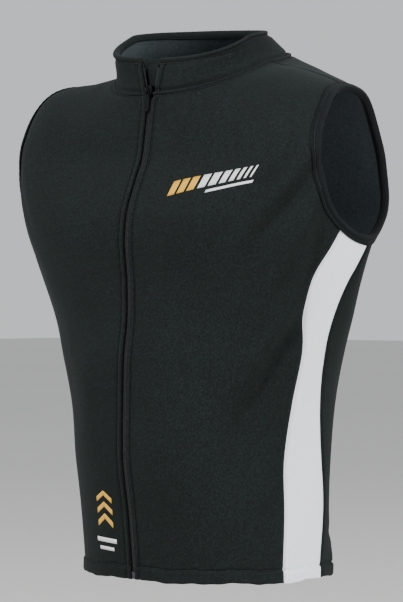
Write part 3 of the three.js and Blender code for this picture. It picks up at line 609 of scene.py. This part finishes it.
def makeStage(s):
    lowest = cadBox[0].z - s["floorGap"]
    half = s["floorSize"] / 2
    mesh = bpy.data.meshes.new("floor")
    corners = [(-half, -half, lowest), (half, -half, lowest), (half, half, lowest), (-half, half, lowest)]
    mesh.from_pydata(corners, [], [(0, 1, 2, 3)])
    mesh.materials.append(floorPaint)
    floor = addObject("floor", mesh)
    world = bpy.data.worlds.new("studio")
    world.use_nodes = True
    background = world.node_tree.nodes["Background"]
    background.inputs["Color"].default_value = toLinear(s["worldColour"])
    background.inputs["Strength"].default_value = s["worldStrength"]
    bpy.context.scene.world = world


makeStage(stageSettings)


def place(piece, body, slot, replaced=()):
    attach(piece, body)
    if replaced:
        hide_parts(*replaced)


def gridMesh(name, outer, inner, materials, isLoop=False):
    # A closed wall between two facing grids of points, with a map in metres along the cloth
    rows, columns = outer.shape[:2]
    points = np.concatenate([outer, inner[:, ::-1]], axis=1).reshape(-1, 3) * mm
    flat = np.stack([lengths(outer, 1), lengths(outer, 0)], axis=-1) * mm
    flat = np.concatenate([flat, flat[:, ::-1]], axis=1).reshape(-1, 2)
    perRow = 2 * columns
    row = np.arange(rows if isLoop else rows - 1)[:, None]
    k = np.arange(perRow)
    nextRow, nextK = (row + 1) % rows, (k + 1) % perRow
    quads = np.stack([row * perRow + k, row * perRow + nextK, nextRow * perRow + nextK, nextRow * perRow + k],
                     axis=-1).reshape(-1, 4)
    isInner = np.tile((k >= columns) & (k < perRow - 1), len(row))
    if not isLoop:
        j = np.arange(columns - 1)
        facing = perRow - 1 - j
        end = (rows - 1) * perRow
        first = np.stack([j, facing, facing - 1, j + 1], axis=-1)
        last = np.stack([end + j, end + j + 1, end + facing - 1, end + facing], axis=-1)
        quads = np.concatenate([quads, first, last])
        isInner = np.append(isInner, np.zeros(2 * (columns - 1), bool))
    a, b, c, d = (points[quads[:, n]] for n in range(4))
    volume = (np.cross(a, b) * c).sum() + (np.cross(a, c) * d).sum()
    if volume < 0:
        quads = quads[:, ::-1]
    mesh = bpy.data.meshes.new(name)
    mesh.from_pydata(points.tolist(), [], quads.tolist())
    for material in materials:
        mesh.materials.append(material)
    if len(materials) > 1:
        mesh.polygons.foreach_set("material_index", isInner.astype(np.int32))
    mesh.polygons.foreach_set("use_smooth", np.ones(len(quads), bool))
    layer = mesh.uv_layers.new(name="cloth")
    layer.data.foreach_set("uv", flat[quads.reshape(-1)].reshape(-1).astype(np.float32))
    mesh.validate()
    mesh.update()
    return mesh


def clothPiece(name, node, slot, materials, points, out, height, depth):
    # A piece of cloth between a height and a depth over the form
    outer, inner = points + out * height[..., None], points + out * depth[..., None]
    place(addObject(name, gridMesh(name, outer, inner, materials)), "vest", slot, [node])


print("body panels")


def panelRings(meets):
    # Rings for the rows of a panel: up the side seam, round the armhole, along the shoulder
    hem = hemSteps / perRing(midFront, beside)
    body = np.linspace(hem[-1], meets, cellCounts["body"])[1:]
    clocks = np.linspace(ringToClock(meets), 180, cellCounts["armhole"])[1:]
    perMm = 1 / perRing(midFront, neckAt - beside)
    top = neckAt - clothSettings["seamGap"] * perMm
    shoulder = np.linspace(armhole["top"], top - neckSteps[-1] * perMm, cellCounts["shoulder"])[1:]
    return np.concatenate([hem, body, clockToRing(clocks), shoulder, top - neckSteps[:-1][::-1] * perMm])


def edgesOf(points, isSeam, hasZip):
    # Distances of each point from the panel's edges, and how far the cloth is drawn in there
    c = clothSettings
    across, up = lengths(points, 1), lengths(points, 0)
    toEnd, toTop = across[:, -1:] - across, up[-1:, :] - up
    rounds = [edgeRound(up, c["hemRound"]), edgeRound(toTop, c["edgeRound"])]
    valley = seamValley(toTop)
    if hasZip:
        rounds.append(edgeRound(across, c["edgeRound"]))
    for distance in [toEnd] if hasZip else [toEnd, across]:
        rounds.append(edgeRound(distance, c["edgeRound"]) * isSeam[:, None])
        valley = np.maximum(valley, seamValley(distance) * isSeam[:, None])
    return across, up, toEnd, toTop, np.maximum.reduce(rounds), valley


def seamMask(at, meets):  # 1 where the outer edge is a seam, 0 where the binding covers it
    return np.maximum(1 - smooth(meets - 0.25, meets, at), smooth(armhole["top"], armhole["top"] + 0.15, at))


def frontPanel(side):
    c, z = clothSettings, zipSettings
    at = panelRings(frontMeets)
    edge = panelEdge(at, 0)[:, None]
    scale = perDegree(edge[:, 0], np.clip(at, 0, neckAt - beside))
    byZip = besideZip(slotEdge(at)[:, None] + bandSteps, at[:, None])
    bySeam = edge - seamSteps[::-1] / scale[:, None]
    angle = evenBetween(byZip, bySeam, cellCounts["front"])
    points, out = cloth(mirrored(angle, side), at[:, None])
    across, up, _, toTop, rounding, valley = edgesOf(points, seamMask(at, frontMeets), True)
    swells, grooves = zip(hemProfile(up), bandProfile(across), neckProfile(toTop))
    gathers = pucker(across - z["band"], up) + pucker(up - c["hemHeight"], across, 1.6)
    height = np.maximum.reduce(swells) + gathers - np.maximum.reduce(grooves) - np.maximum(rounding, valley)
    pastTape = smooth(z["tapeWidth"] + 1, z["tapeWidth"] + 2.5, across)
    depth = -c["wall"] - swells[0] * pastTape + rounding
    # inner faces: the lining, painted lighter as painted light inside the armhole
    clothPiece("front_panel_" + side, "front_" + side, "black_cloth", [blackCloth, liningClothPaintedLight], points, out,
               height, np.minimum(depth, height - c["thinnest"]))


def backPanel():
    c = clothSettings
    at = panelRings(backMeets)
    edge = panelEdge(at, 1)
    low = edge[:, None] + seamSteps / perDegree(edge, np.clip(at, 0, neckAt - beside))[:, None]
    points, out = cloth(evenBetween(low, 180 - low[:, ::-1], cellCounts["back"]), at[:, None])
    across, up, _, toTop, rounding, valley = edgesOf(points, seamMask(at, backMeets), False)
    hemSwell, hemGroove = hemProfile(up)
    neckSwell, neckGroove = neckProfile(toTop)
    height = hemSwell + neckSwell - hemGroove - neckGroove - np.maximum(rounding, valley)
    height = height + pucker(up - c["hemHeight"], across, 2.0)
    clothPiece("back_body", "back_panel", "black_cloth", [blackCloth, liningClothPaintedLight], points, out, height,
               np.minimum(-c["wall"] - hemSwell + rounding, height - c["thinnest"]))


def sidePanel(side):
    c = clothSettings
    bulge = 0.5
    topRows = cellCounts["sideTop"]
    hem = hemSteps / perRing(midFront, beside)
    body = np.linspace(hem[-1], seamTopAt, cellCounts["side"])[1:]
    level = np.concatenate([hem, body, np.full(topRows, seamTopAt)])
    share = np.append(np.zeros(len(level) - topRows), np.linspace(0, 1, topRows + 1)[1:])
    settle = np.where(share > 0, mix(bulge, 1, share), bulge * (level / seamTopAt) ** 6)
    atBack, atFront = mix(level, backMeets, share), mix(level, frontMeets, share)
    fromBack = sideSeam(atBack, 1) - seamInset(backSeam, atBack)
    fromFront = sideSeam(atFront, 0) + seamInset(frontSeam, atFront)
    width = np.abs(fromFront - fromBack) * perDegree(0.0, np.clip(level, 0, seamTopAt))
    nearBack = seamSteps / width[:, None]
    across = evenBetween(nearBack, 1 - nearBack[:, ::-1], cellCounts["sideAcross"])
    clock = mix(-armhole["meetsBack"], armhole["meetsFront"], across)
    topStraight = mix(armholeAngle(-armhole["meetsBack"]), armholeAngle(armhole["meetsFront"]), across)
    pull = armholeAngle(clock) - topStraight
    angle = mix(fromBack[:, None], fromFront[:, None], across) + pull * settle[:, None]
    points, out = cloth(mirrored(angle, side), mix(level[:, None], clockToRing(clock), share[:, None]))
    run, up, toEnd, toTop, rounding, valley = edgesOf(points, 1 - smooth(0.6, 1.0, share), False)
    rounding = np.maximum(edgeRound(up, c["hemRound"]), np.where(toTop < c["edgeRound"], 0, rounding))
    byEnds = np.minimum(valley, seamValley(np.minimum(run, toEnd)))
    valley = np.where(toTop < 3 * c["seamReach"], byEnds, valley)
    hemSwell, hemGroove = hemProfile(up)
    height = hemSwell - hemGroove + pucker(up - c["hemHeight"], run, 2.4) - np.maximum(rounding, valley)
    clothPiece("side_insert_" + side, "side_panel_" + side, "white_cloth", [whiteCloth] * 2, points, out,
               height, np.minimum(-c["wall"] - hemSwell + rounding, height - c["thinnest"]))


frontPanel("left")
frontPanel("right")
backPanel()
sidePanel("left")
sidePanel("right")

print("armhole bindings")
bindingSettings = {
    "width": 8.3, "inside": 8.0, "wall": 1.4, "clear": 0.8, "insideClear": 1.3, "turn": 1.35,
    "paintedShadeFrom": 24, "puff": 0.7, "stitchFromEdge": 3.0, "stations": 300, "gatherHeight": 0.12,
}


def acrossEdge(angle, at):
    # Degrees and rings for one mm over the cloth, straight away from the armhole's edge
    points = form(angle, at)
    around, upward, out = framesAt(angle, at)
    away = np.cross(np.roll(points, -1, axis=0) - np.roll(points, 1, axis=0), out)
    away /= np.linalg.norm(away, axis=1, keepdims=True)
    away *= np.sign(((points - points.mean(axis=0)) * away).sum(axis=1))[:, None]
    aa, au, uu = ((p * q).sum(axis=1) for p, q in ((around, around), (around, upward), (upward, upward)))
    da, du = (away * around).sum(axis=1), (away * upward).sum(axis=1)
    share = aa * uu - au * au
    return (da * uu - du * au) / share, (du * aa - da * au) / share


def armholeStations(side):
    # Even steps round the armhole: angle, ring, what acrossEdge gives, and the length run
    clock = np.linspace(-180, 180, 1441)[:-1]
    points = form(mirrored(armholeAngle(clock), side), clockToRing(np.abs(clock)))
    run = lengths(np.append(points, points[:1], axis=0), 0)
    wanted = np.linspace(0, run[-1], bindingSettings["stations"] + 1)[:-1]
    clock = np.interp(wanted, run, np.append(clock, 180))
    angle, at = mirrored(armholeAngle(clock), side), clockToRing(np.abs(clock))
    return (angle, at, *acrossEdge(angle, at), wanted)


def bindingProfile(b):
    # Middle line of the folded band over the cloth: outer leg, round turn, inner leg
    outside, inside = b["clear"] + b["wall"] / 2, -clothSettings["wall"] - b["insideClear"] - b["wall"] / 2
    leg = np.append([0, 0.2, 0.5, 0.9], np.linspace(1.4, b["width"], 12))
    phi = np.linspace(0, np.pi, 14)[1:-1]
    turnHeight = (outside + inside) / 2 + (outside - inside) / 2 * np.cos(phi)
    over = np.concatenate([b["width"] - leg, -b["turn"] * np.sin(phi), np.linspace(0, b["inside"], 12)])
    height = np.concatenate([np.full(len(leg), outside), turnHeight, np.full(12, inside)])
    line = np.stack([over, height], axis=1)
    step = np.gradient(line, axis=0)
    step /= np.linalg.norm(step, axis=1, keepdims=True)
    normal = np.stack([step[:, 1], -step[:, 0]], axis=1)
    run = lengths(line, 0)
    half = b["wall"] / 2 - edgeRound(run, b["wall"] * 0.45) - edgeRound(run[-1] - run, b["wall"] * 0.45)
    stitchAt = b["width"] - b["stitchFromEdge"]
    swell = b["puff"] * np.sin(np.pi * np.clip(over / stitchAt, 0, 1)) - groove(over - stitchAt)
    swell = swell * smooth(-0.2, 0.8, over) * (height > 0)
    return line + normal * (half + swell)[:, None], line - normal * half[:, None]


def binding(side):
    b = bindingSettings
    angle, at, perMmAngle, perMmAt, run = (row[:, None] for row in armholeStations(side))
    face, back = bindingProfile(b)
    gathers = b["gatherHeight"] * np.sin(2 * np.pi * run / 6.4 + 1.3 * np.sin(run / 31.0))

    def laid(profile, ripple):
        over, height = profile.T
        lift = ripple * smooth(1, 5, over) * (height > 0)
        return skin(angle + perMmAngle * over, at + perMmAt * over, height + lift)

    name = "armhole_edge_" + side
    # The turn, the inner leg and the back of the band get the darker woven tape: painted shade where the
    # binding's inner side lies in shadow
    mesh = gridMesh(name, laid(face, gathers), laid(back, gathers * 0), [bindingCloth, tapeCloth], isLoop=True)
    shadedPart = np.arange(2 * len(face)) > b["paintedShadeFrom"]
    mesh.polygons.foreach_set("material_index", np.tile(shadedPart, b["stations"]).astype(np.int32))
    place(addObject(name, mesh), "vest", "binding_cloth", ["armhole_binding_" + side])


binding("left")
binding("right")

print("collar")
collarSettings = {
    "wall": 2.4, "facingWall": 3.1, "rollHeight": 6.0, "rollSwell": 2.0, "columns": 150,
    "rollStart": 0.03, "guardBelowTop": 0.8,
}
rollAt = collarAt - collarSettings["rollHeight"] / perRing(midFront, collarAt - beside)
collarFootAt = neckAt + clothSettings["seamGap"] / perRing(midFront, neckAt + beside)
perMmOfCollar = 1 / perRing(midFront, neckAt + beside)


def collarCloth(at, inset, nearSteps):
    # Cloth round the collar with close steps by the zip edges, and its distances along and to them
    first = besideZip(slotEdge(at)[:, None] + inset + nearSteps, at[:, None])
    points, out = cloth(evenBetween(first, 180 - first[:, ::-1], collarSettings["columns"]), at[:, None])
    across = lengths(points, 1)
    return points, out, across, np.minimum(across, across[:, -1:] - across)


def collar():
    k = collarSettings
    radius = (k["wall"] + k["facingWall"] + 2 * k["rollSwell"]) / 2
    foot = seamSteps * perMmOfCollar + collarFootAt
    band = np.linspace(foot[-1], rollAt - 0.05, 8)[1:]
    perMm = (collarAt - rollAt) / k["rollHeight"]
    under = rollAt - np.array([1.3, 0.9, 0.5, 0.2]) * perMm
    lip = rollAt + np.array([0.1, 0.35, 0.7, 1.1, 1.6]) * perMm
    theta = np.radians([0, 14, 28, 42, 55, 66, 75, 82])
    top = collarAt - radius * perMm * (1 - np.sin(theta)) - 0.02 * perMm
    at = np.concatenate([foot, band, under, [rollAt], lip, top])
    above = (at - rollAt) / perMm
    half = np.append(np.full(len(at) - len(theta), radius), radius * np.cos(theta))
    middle = k["rollSwell"] - radius
    isRoll = above > 0.01
    swollen = middle + half - groove(above, k["rollSwell"] + 1.6, 2.0)
    outerHeight = np.where(isRoll, swollen, -groove(above, 1.6, 3.0))
    outerHeight = outerHeight - seamValley((at - collarFootAt) / perMmOfCollar)
    innerHeight = np.where(isRoll, middle - half, -k["wall"])
    points, out, across, toEdge = collarCloth(at, 0, bandSteps)
    bandSwell, bandGroove = bandProfile(toEdge)
    flatPart = (~isRoll)[:, None]
    rounding = edgeRound(toEdge, clothSettings["edgeRound"]) * np.where(flatPart, 1, 1.6)
    height = outerHeight[:, None] + (bandSwell - bandGroove) * flatPart - rounding
    height = height + pucker(above[:, None], across, 0.9) * (toEdge > 9)
    depth = innerHeight[:, None] + np.minimum(rounding, 1.1)
    clothPiece("stand_collar", "collar", "black_cloth", [blackCloth] * 2, points, out, height,
               np.minimum(depth, height - 0.4))


def collarFacing():
    k = collarSettings
    at = np.append(seamSteps[:6] * perMmOfCollar + collarFootAt,
                   np.linspace(collarFootAt + 2.4 * perMmOfCollar, rollAt - k["rollStart"], 14))
    inset = zipSettings["tapeWidth"] + clothSettings["seamGap"]
    points, out, _, toEdge = collarCloth(at, inset, [0, 0.4, 1.0, 2.0, 4.0])
    fromFoot = (at - collarFootAt)[:, None] / perMmOfCollar
    rounding = np.maximum(edgeRound(toEdge, 1.0), edgeRound(fromFoot, 1.0))
    height = -k["wall"] - clothSettings["layerGap"] - rounding
    depth = -k["wall"] - k["facingWall"] + groove(fromFoot - 8, 0.6, 0.9) + rounding
    clothPiece("collar_lining", "collar_facing", "lining_cloth", [facingClothPaintedLight], points, out, height, depth)


collar()
collarFacing()

print("zip")
tapeFront = -clothSettings["wall"] - 2 * clothSettings["layerGap"]
chainBack = tapeFront + clothSettings["layerGap"]
zipFootAt = clothSettings["layerGap"] / perRing(centreFront, beside)
tapeTopAt = collarAt - (collarSettings["rollHeight"] + zipSettings["tapeBelowRoll"]) / perRing(
    centreFront, collarAt - beside)
boxTopAt = zipSettings["boxHeight"] / perRing(centreFront, beside)
sliderReach = (zipSettings["sliderHeight"] / 2 + zipSettings["chainClear"]) / perRing(centreFront, neckAt)
stopFootAt = tapeTopAt - zipSettings["stopHeight"] / perRing(centreFront, tapeTopAt)


def zipTape(side):
    z = zipSettings
    at = np.append(np.linspace(zipFootAt, slotOpensAt, 150), np.linspace(slotOpensAt, tapeTopAt, 34)[1:])
    steps = np.array([0, 0.2, 0.5, 1.0, 2.0, 4.0, 6.5, 9.0, 11.0, 11.6, 11.9, 12.1])
    angle = besideZip(slotEdge(at)[:, None] - z["tapeShowing"] + steps, at[:, None])
    points, out = cloth(mirrored(angle, side), at[:, None])
    rounding = edgeRound(np.minimum(steps, steps[-1] - steps), 0.4)
    cord = 0.175 * np.exp(-((steps - 0.5) / 0.4) ** 2)
    clothPiece("zip_tape_cloth_" + side, "zip_tape_" + side, "zip_tape_cloth", [tapeCloth], points, out,
               tapeFront - rounding + cord, tapeFront - z["tapeWall"] + rounding)


def zipGuard():
    k, z = collarSettings, zipSettings
    perMm = 1 / perRing(centreFront, collarAt - beside)
    low = neckAt - z["guardBelowNeck"] / perRing(centreFront, slotOpensAt)
    at = np.linspace(low, collarAt - k["guardBelowTop"] * perMm, 56)
    start, end = z["guardStart"], z["guardEnd"]
    near = np.array([0, 0.3, 0.7])
    steps = np.concatenate([start + near, np.linspace(start + 1.2, end - 1.2, 22), end - near[::-1]])
    points, out = cloth(besideZip(steps, at[:, None]), at[:, None])
    across, up = lengths(points, 1), lengths(points, 0)
    edge = np.minimum(np.minimum(across, across[:, -1:] - across), np.minimum(up, up[-1:] - up))
    behindRoll = 1.8 * smooth(k["rollHeight"] + 6, k["rollHeight"] + 1, (collarAt - at) / perMm)
    clear = 0.9 * (1 - smooth(11.0, 12.5, steps)) + behindRoll[:, None]
    front = -k["wall"] - k["facingWall"] - 2 * clothSettings["layerGap"] - clear
    clothPiece("zip_guard_flap", "zip_guard", "black_cloth", [blackCloth], points, out,
               front - edgeRound(edge, 0.5) - groove(edge - 3.0, 0.25, 0.5),
               front - z["guardWall"] + edgeRound(edge, 0.5))


zipTape("left")
zipTape("right")
zipGuard()


def refined(node, name, body, material, width):
    # The node's own shape with its corners rounded, so that they catch the light
    mesh = bpy.data.meshes.new(name)
    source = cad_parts[node].data
    mesh.from_pydata([v.co[:] for v in source.vertices], [], [p.vertices[:] for p in source.polygons])
    mesh.materials.append(material)
    piece = addObject(name, mesh)
    place(piece, body, "zip_metal", [node])
    steps = {
        "WELD": {"merge_threshold": 1e-6},
        "DECIMATE": {"decimate_type": "DISSOLVE", "angle_limit": np.radians(1.5)},
        "BEVEL": {"width": width * mm, "segments": 2, "limit_method": "ANGLE", "angle_limit": np.radians(35)},
    }
    for kind, values in steps.items():
        modifier = piece.modifiers.new(kind.lower(), kind)
        for key, value in values.items():
            setattr(modifier, key, value)
    shown = piece.evaluated_get(bpy.context.evaluated_depsgraph_get())
    made = bpy.data.meshes.new_from_object(shown)
    piece.modifiers.clear()
    piece.data = made


refined("zip_slider", "slider_body", "vest", platedZinc, 0.25)
refined("zip_pull", "slider_pull", "pull", platedZinc, 0.22)
refined("zip_box", "zip_foot_box", "vest", boxZinc, 0.3)
for side in sides:
    refined("zip_top_stop_" + side, "top_stop_" + side, "vest", platedZinc, 0.3)

print("stitches and teeth")
stitchSizes = {"Pitch": 3.0 * mm, "Across": 0.5 * mm, "Deep": 0.42 * mm, "Along": 2.5 * mm, "Slant": 0.0}
coilSizes = {"Pitch": 1.27 * mm, "Across": 2.9 * mm, "Deep": 1.9 * mm, "Along": 1.12 * mm, "Slant": 0.16}
stitchHeight = 0.12 - clothSettings["stitchSink"]


def makeRowTree():
    # Small rounded pieces in a row along a path: stitches, or the coils of a zip
    tree = bpy.data.node_groups.new("rows_on_cloth", "GeometryNodeTree")
    for name in ("Path", *stitchSizes, "Material"):
        kind = {"Path": "Geometry", "Material": "Material"}.get(name, "Float")
        tree.interface.new_socket(name=name, in_out="INPUT", socket_type="NodeSocket" + kind)
    tree.interface.new_socket(name="Geometry", in_out="OUTPUT", socket_type="NodeSocketGeometry")

    def add(kind, links=None, settings=None):
        return addNode(tree, kind, settings, links).outputs[0]

    given = addNode(tree, "NodeGroupInput").outputs
    curve = add("GeometryNodeMeshToCurve", {"Mesh": given["Path"]})
    even = add("GeometryNodeResampleCurve", {"Curve": curve, "Length": given["Pitch"]}, {"mode": "LENGTH"})
    ball = add("GeometryNodeMeshUVSphere", {}, {"Segments": 8, "Rings": 5, "Radius": 0.5})
    size = add("ShaderNodeCombineXYZ", {"X": given["Across"], "Y": given["Deep"], "Z": given["Along"]})
    shaped = add("GeometryNodeTransform", {"Geometry": ball, "Scale": size})
    slant = add("ShaderNodeCombineXYZ", {"Y": given["Slant"]})
    leaning = add("GeometryNodeTransform", {"Geometry": shaped, "Rotation": slant})
    tangent = add("GeometryNodeInputTangent")
    across = add("GeometryNodeInputNamedAttribute", {}, {"data_type": "FLOAT_VECTOR", "Name": "across"})
    upright = add("FunctionNodeAlignRotationToVector", {"Vector": tangent}, {"axis": "Z"})
    shadedPart = add("FunctionNodeAlignRotationToVector", {"Rotation": upright, "Vector": across},
                 {"axis": "X", "pivot_axis": "Z"})
    placed = add("GeometryNodeInstanceOnPoints", {"Points": even, "Instance": leaning, "Rotation": shadedPart})
    real = add("GeometryNodeRealizeInstances", {"Geometry": placed})
    soft = add("GeometryNodeSetShadeSmooth", {"Geometry": real})
    painted = add("GeometryNodeSetMaterial", {"Geometry": soft, "Material": given["Material"]})
    addNode(tree, "NodeGroupOutput", {}, {"Geometry": painted})
    return tree


rowTree = makeRowTree()


def rowPiece(name, lines, sizes, material, slot, replaced=()):
    # lines: (points in mm, directions across the line), one pair for each row
    mesh = bpy.data.meshes.new(name)
    points, edges, across = [], [], []
    for line, direction in lines:
        start = len(points)
        points += (line * mm).tolist()
        across += direction.tolist()
        edges += [(start + i, start + i + 1) for i in range(len(line) - 1)]
    mesh.from_pydata(points, edges, [])
    attribute = mesh.attributes.new("across", "FLOAT_VECTOR", "POINT")
    attribute.data.foreach_set("vector", np.array(across, np.float32).reshape(-1))
    path = addObject(name + "_path", mesh)
    modifier = path.modifiers.new("rows", "NODES")
    modifier.node_group = rowTree
    values = {**sizes, "Material": material}
    for socket in rowTree.interface.items_tree:
        if socket.in_out == "INPUT" and socket.name in values:
            modifier[socket.identifier] = values[socket.name]
    bpy.context.view_layer.update()
    made = bpy.data.meshes.new_from_object(path.evaluated_get(bpy.context.evaluated_depsgraph_get()))
    bpy.data.objects.remove(path)
    made.name = name
    place(addObject(name, made), "vest", slot, replaced)


def clothLine(angle, at, height=stitchHeight):
    points, out = cloth(angle, at)
    return points + out * height, np.cross(np.gradient(points, axis=0), out)


def placketLines():
    parts = [np.linspace(hemTopAt, neckAt - 0.02, 260), np.linspace(collarFootAt + 0.02, rollAt, 24)]
    return [clothLine(mirrored(besideZip(slotEdge(at) + zipSettings["band"], at), side), at)
            for side in sides for at in parts]


def hemLines():
    zipEnd = besideZip(slotEdge(hemTopAt) + zipSettings["band"], hemTopAt)
    spans = [(zipEnd, sideSeam(hemTopAt, 0) - 0.4), (sideSeam(hemTopAt, 1) + 0.4, 90)]
    return [clothLine(mirrored(np.linspace(*span, 70), side), hemTopAt) for side in sides for span in spans]


def sideHemLines():
    angle = np.linspace(sideSeam(hemTopAt, 0) + 0.6, sideSeam(hemTopAt, 1) - 0.6, 40)
    return [clothLine(mirrored(angle, side), hemTopAt) for side in sides]


def roundNeck(at, inset, count):  # angles round the neck, from zip edge to zip edge
    first = besideZip(slotEdge(at) + inset, at)
    return np.linspace(first, 180 - first, count)


def neckLine():
    angle = roundNeck(neckAt - beside, zipSettings["band"], 240)
    down = clothSettings["neckBand"] + clothSettings["seamGap"]
    return clothLine(angle, neckAt - down / perRing(angle, neckAt - beside))


def bindingLines(side):
    b = bindingSettings
    angle, at, perMmAngle, perMmAt, _ = armholeStations(side)
    over = b["width"] - b["stitchFromEdge"]
    points = skin(angle + perMmAngle * over, at + perMmAt * over, b["clear"] + b["wall"] + stitchHeight)
    points, out = (np.append(rows, rows[:1], axis=0) for rows in (points, framesAt(angle, at)[2]))
    return [(points, np.cross(np.gradient(points, axis=0), out))]


stitchRows = [
    ("placket_stitches", placketLines(), blackThread, "black_cloth"),
    ("hem_stitches", hemLines(), blackThread, "black_cloth"),
    ("side_hem_stitches", sideHemLines(), whiteThread, "white_cloth"),
    ("neck_stitches", [neckLine()], blackThread, "black_cloth"),
    ("roll_stitches", [clothLine(roundNeck(rollAt, 2.0, 200), rollAt)], blackThread, "black_cloth"),
    ("binding_stitches_left", bindingLines("left"), blackThread, "binding_cloth"),
    ("binding_stitches_right", bindingLines("right"), blackThread, "binding_cloth"),
]
for name, lines, thread, slot in stitchRows:
    rowPiece(name, lines, stitchSizes, thread, slot)


def coilLine(side, start, end, fromEdge=None):
    z = zipSettings
    at = np.linspace(start, end, 300)
    distance = z["chainHalf"] if fromEdge is None else slotEdge(at) - fromEdge
    return clothLine(mirrored(besideZip(distance, at), side), at, chainBack + z["chainDepth"] / 2)


def closedCoil():
    halfPitch = coilSizes["Pitch"] / mm / 2 / perRing(centreFront, 6.0)
    start, end = boxTopAt + zipFootAt, neckAt - sliderReach
    return [coilLine("left", start, end), coilLine("right", start + halfPitch, end)]


def openCoil(side):
    z = zipSettings
    fromEdge = (z["tapeShowing"] - z["chainClear"] / 2) / 2 + z["teethWidth"] / 2
    return [coilLine(side, neckAt + sliderReach, stopFootAt - zipFootAt, fromEdge)]


rowPiece("coil_closed", closedCoil(), coilSizes, coilNylon, "zip_tooth", ["zip_chain"])
for side in sides:
    rowPiece("coil_open_" + side, openCoil(side), coilSizes, coilNylon, "zip_tooth", ["zip_teeth_" + side])

print("prints")
# Plain slanted bars and stacked chevrons. Lengths in mm on the cloth from the print's middle.
chestPrint = {
    "angle": -64.5, "ring": 8.95, "tilt": 9.0, "height": 14.0, "lean": 6.5, "lift": 0.2, "cells": (12, 4),
    "amber": [(-61, 10), (-47, 10), (-33, 10)],           # left edge and width of each bar
    "white": [(-18, 10), (-4, 10), (10, 8), (22, 6), (32, 4), (40, 2.8), (47, 2)],
    "line": (-6, 51, -13.4, -10.8, 1.2),
}
hemPrint = {
    "angle": -106.0, "ring": 0.86, "tilt": -2.0, "lift": 0.2, "cells": (8, 4), "lineCells": (14, 3),
    "chevrons": (-8, 6, 20), "half": 13.5, "drop": 9.0, "thick": 6.0,
    "lines": [(-18, 18, -24, -19.5, 0), (-13, 13, -32, -28.5, 0)],
}


def printPatch(corners, spot, cells):
    # A thin film between four corners, laid on the cloth
    a, b, c, d = (np.array(p, float) for p in corners)
    u, v = np.linspace(0, 1, cells[0])[None, :, None], np.linspace(0, 1, cells[1])[:, None, None]
    flat = mix(mix(a, b, u), mix(d, c, u), v)
    tilt = np.radians(spot["tilt"])
    x = flat[..., 0] * np.cos(tilt) - flat[..., 1] * np.sin(tilt)
    y = flat[..., 0] * np.sin(tilt) + flat[..., 1] * np.cos(tilt)
    angle = spot["angle"] + x / perDegree(spot["angle"], spot["ring"])
    at = spot["ring"] + y / perRing(spot["angle"], spot["ring"])
    return skin(angle, at, spot["lift"]), skin(angle, at, -0.25)


def printPiece(name, shapes, spot, cells, material):
    joined = [addObject(name, gridMesh(name, *printPatch(shape, spot, cells), [material])) for shape in shapes]
    with bpy.context.temp_override(active_object=joined[0], selected_editable_objects=joined):
        bpy.ops.object.join()
    joined[0].name = name
    place(joined[0], "vest", "black_cloth")


def slantedBar(left, right, low, high, lean):
    return [(left, low), (right, low), (right + lean, high), (left + lean, high)]


def chestBars(p, shade):
    high = p["height"] / 2
    return [slantedBar(x, x + width, -high, high, p["lean"]) for x, width in p[shade]]


def chevron(y, p):
    half, low, thick = p["half"], y + p["drop"], p["thick"]
    return [[(-half, y), (0, low), (0, low + thick), (-half, y + thick)],
            [(0, low), (half, y), (half, y + thick), (0, low + thick)]]


chestWhite = chestBars(chestPrint, "white") + [slantedBar(*chestPrint["line"])]
hemAmber = [shape for y in hemPrint["chevrons"] for shape in chevron(y, hemPrint)]
hemWhite = [slantedBar(*line) for line in hemPrint["lines"]]
printPiece("chest_bars_amber", chestBars(chestPrint, "amber"), chestPrint, chestPrint["cells"], inkAmber)
printPiece("chest_bars_white", chestWhite, chestPrint, chestPrint["cells"], inkWhite)
printPiece("hem_chevrons_amber", hemAmber, hemPrint, hemPrint["cells"], inkAmber)
printPiece("hem_bars_white", hemWhite, hemPrint, hemPrint["lineCells"], inkWhite)
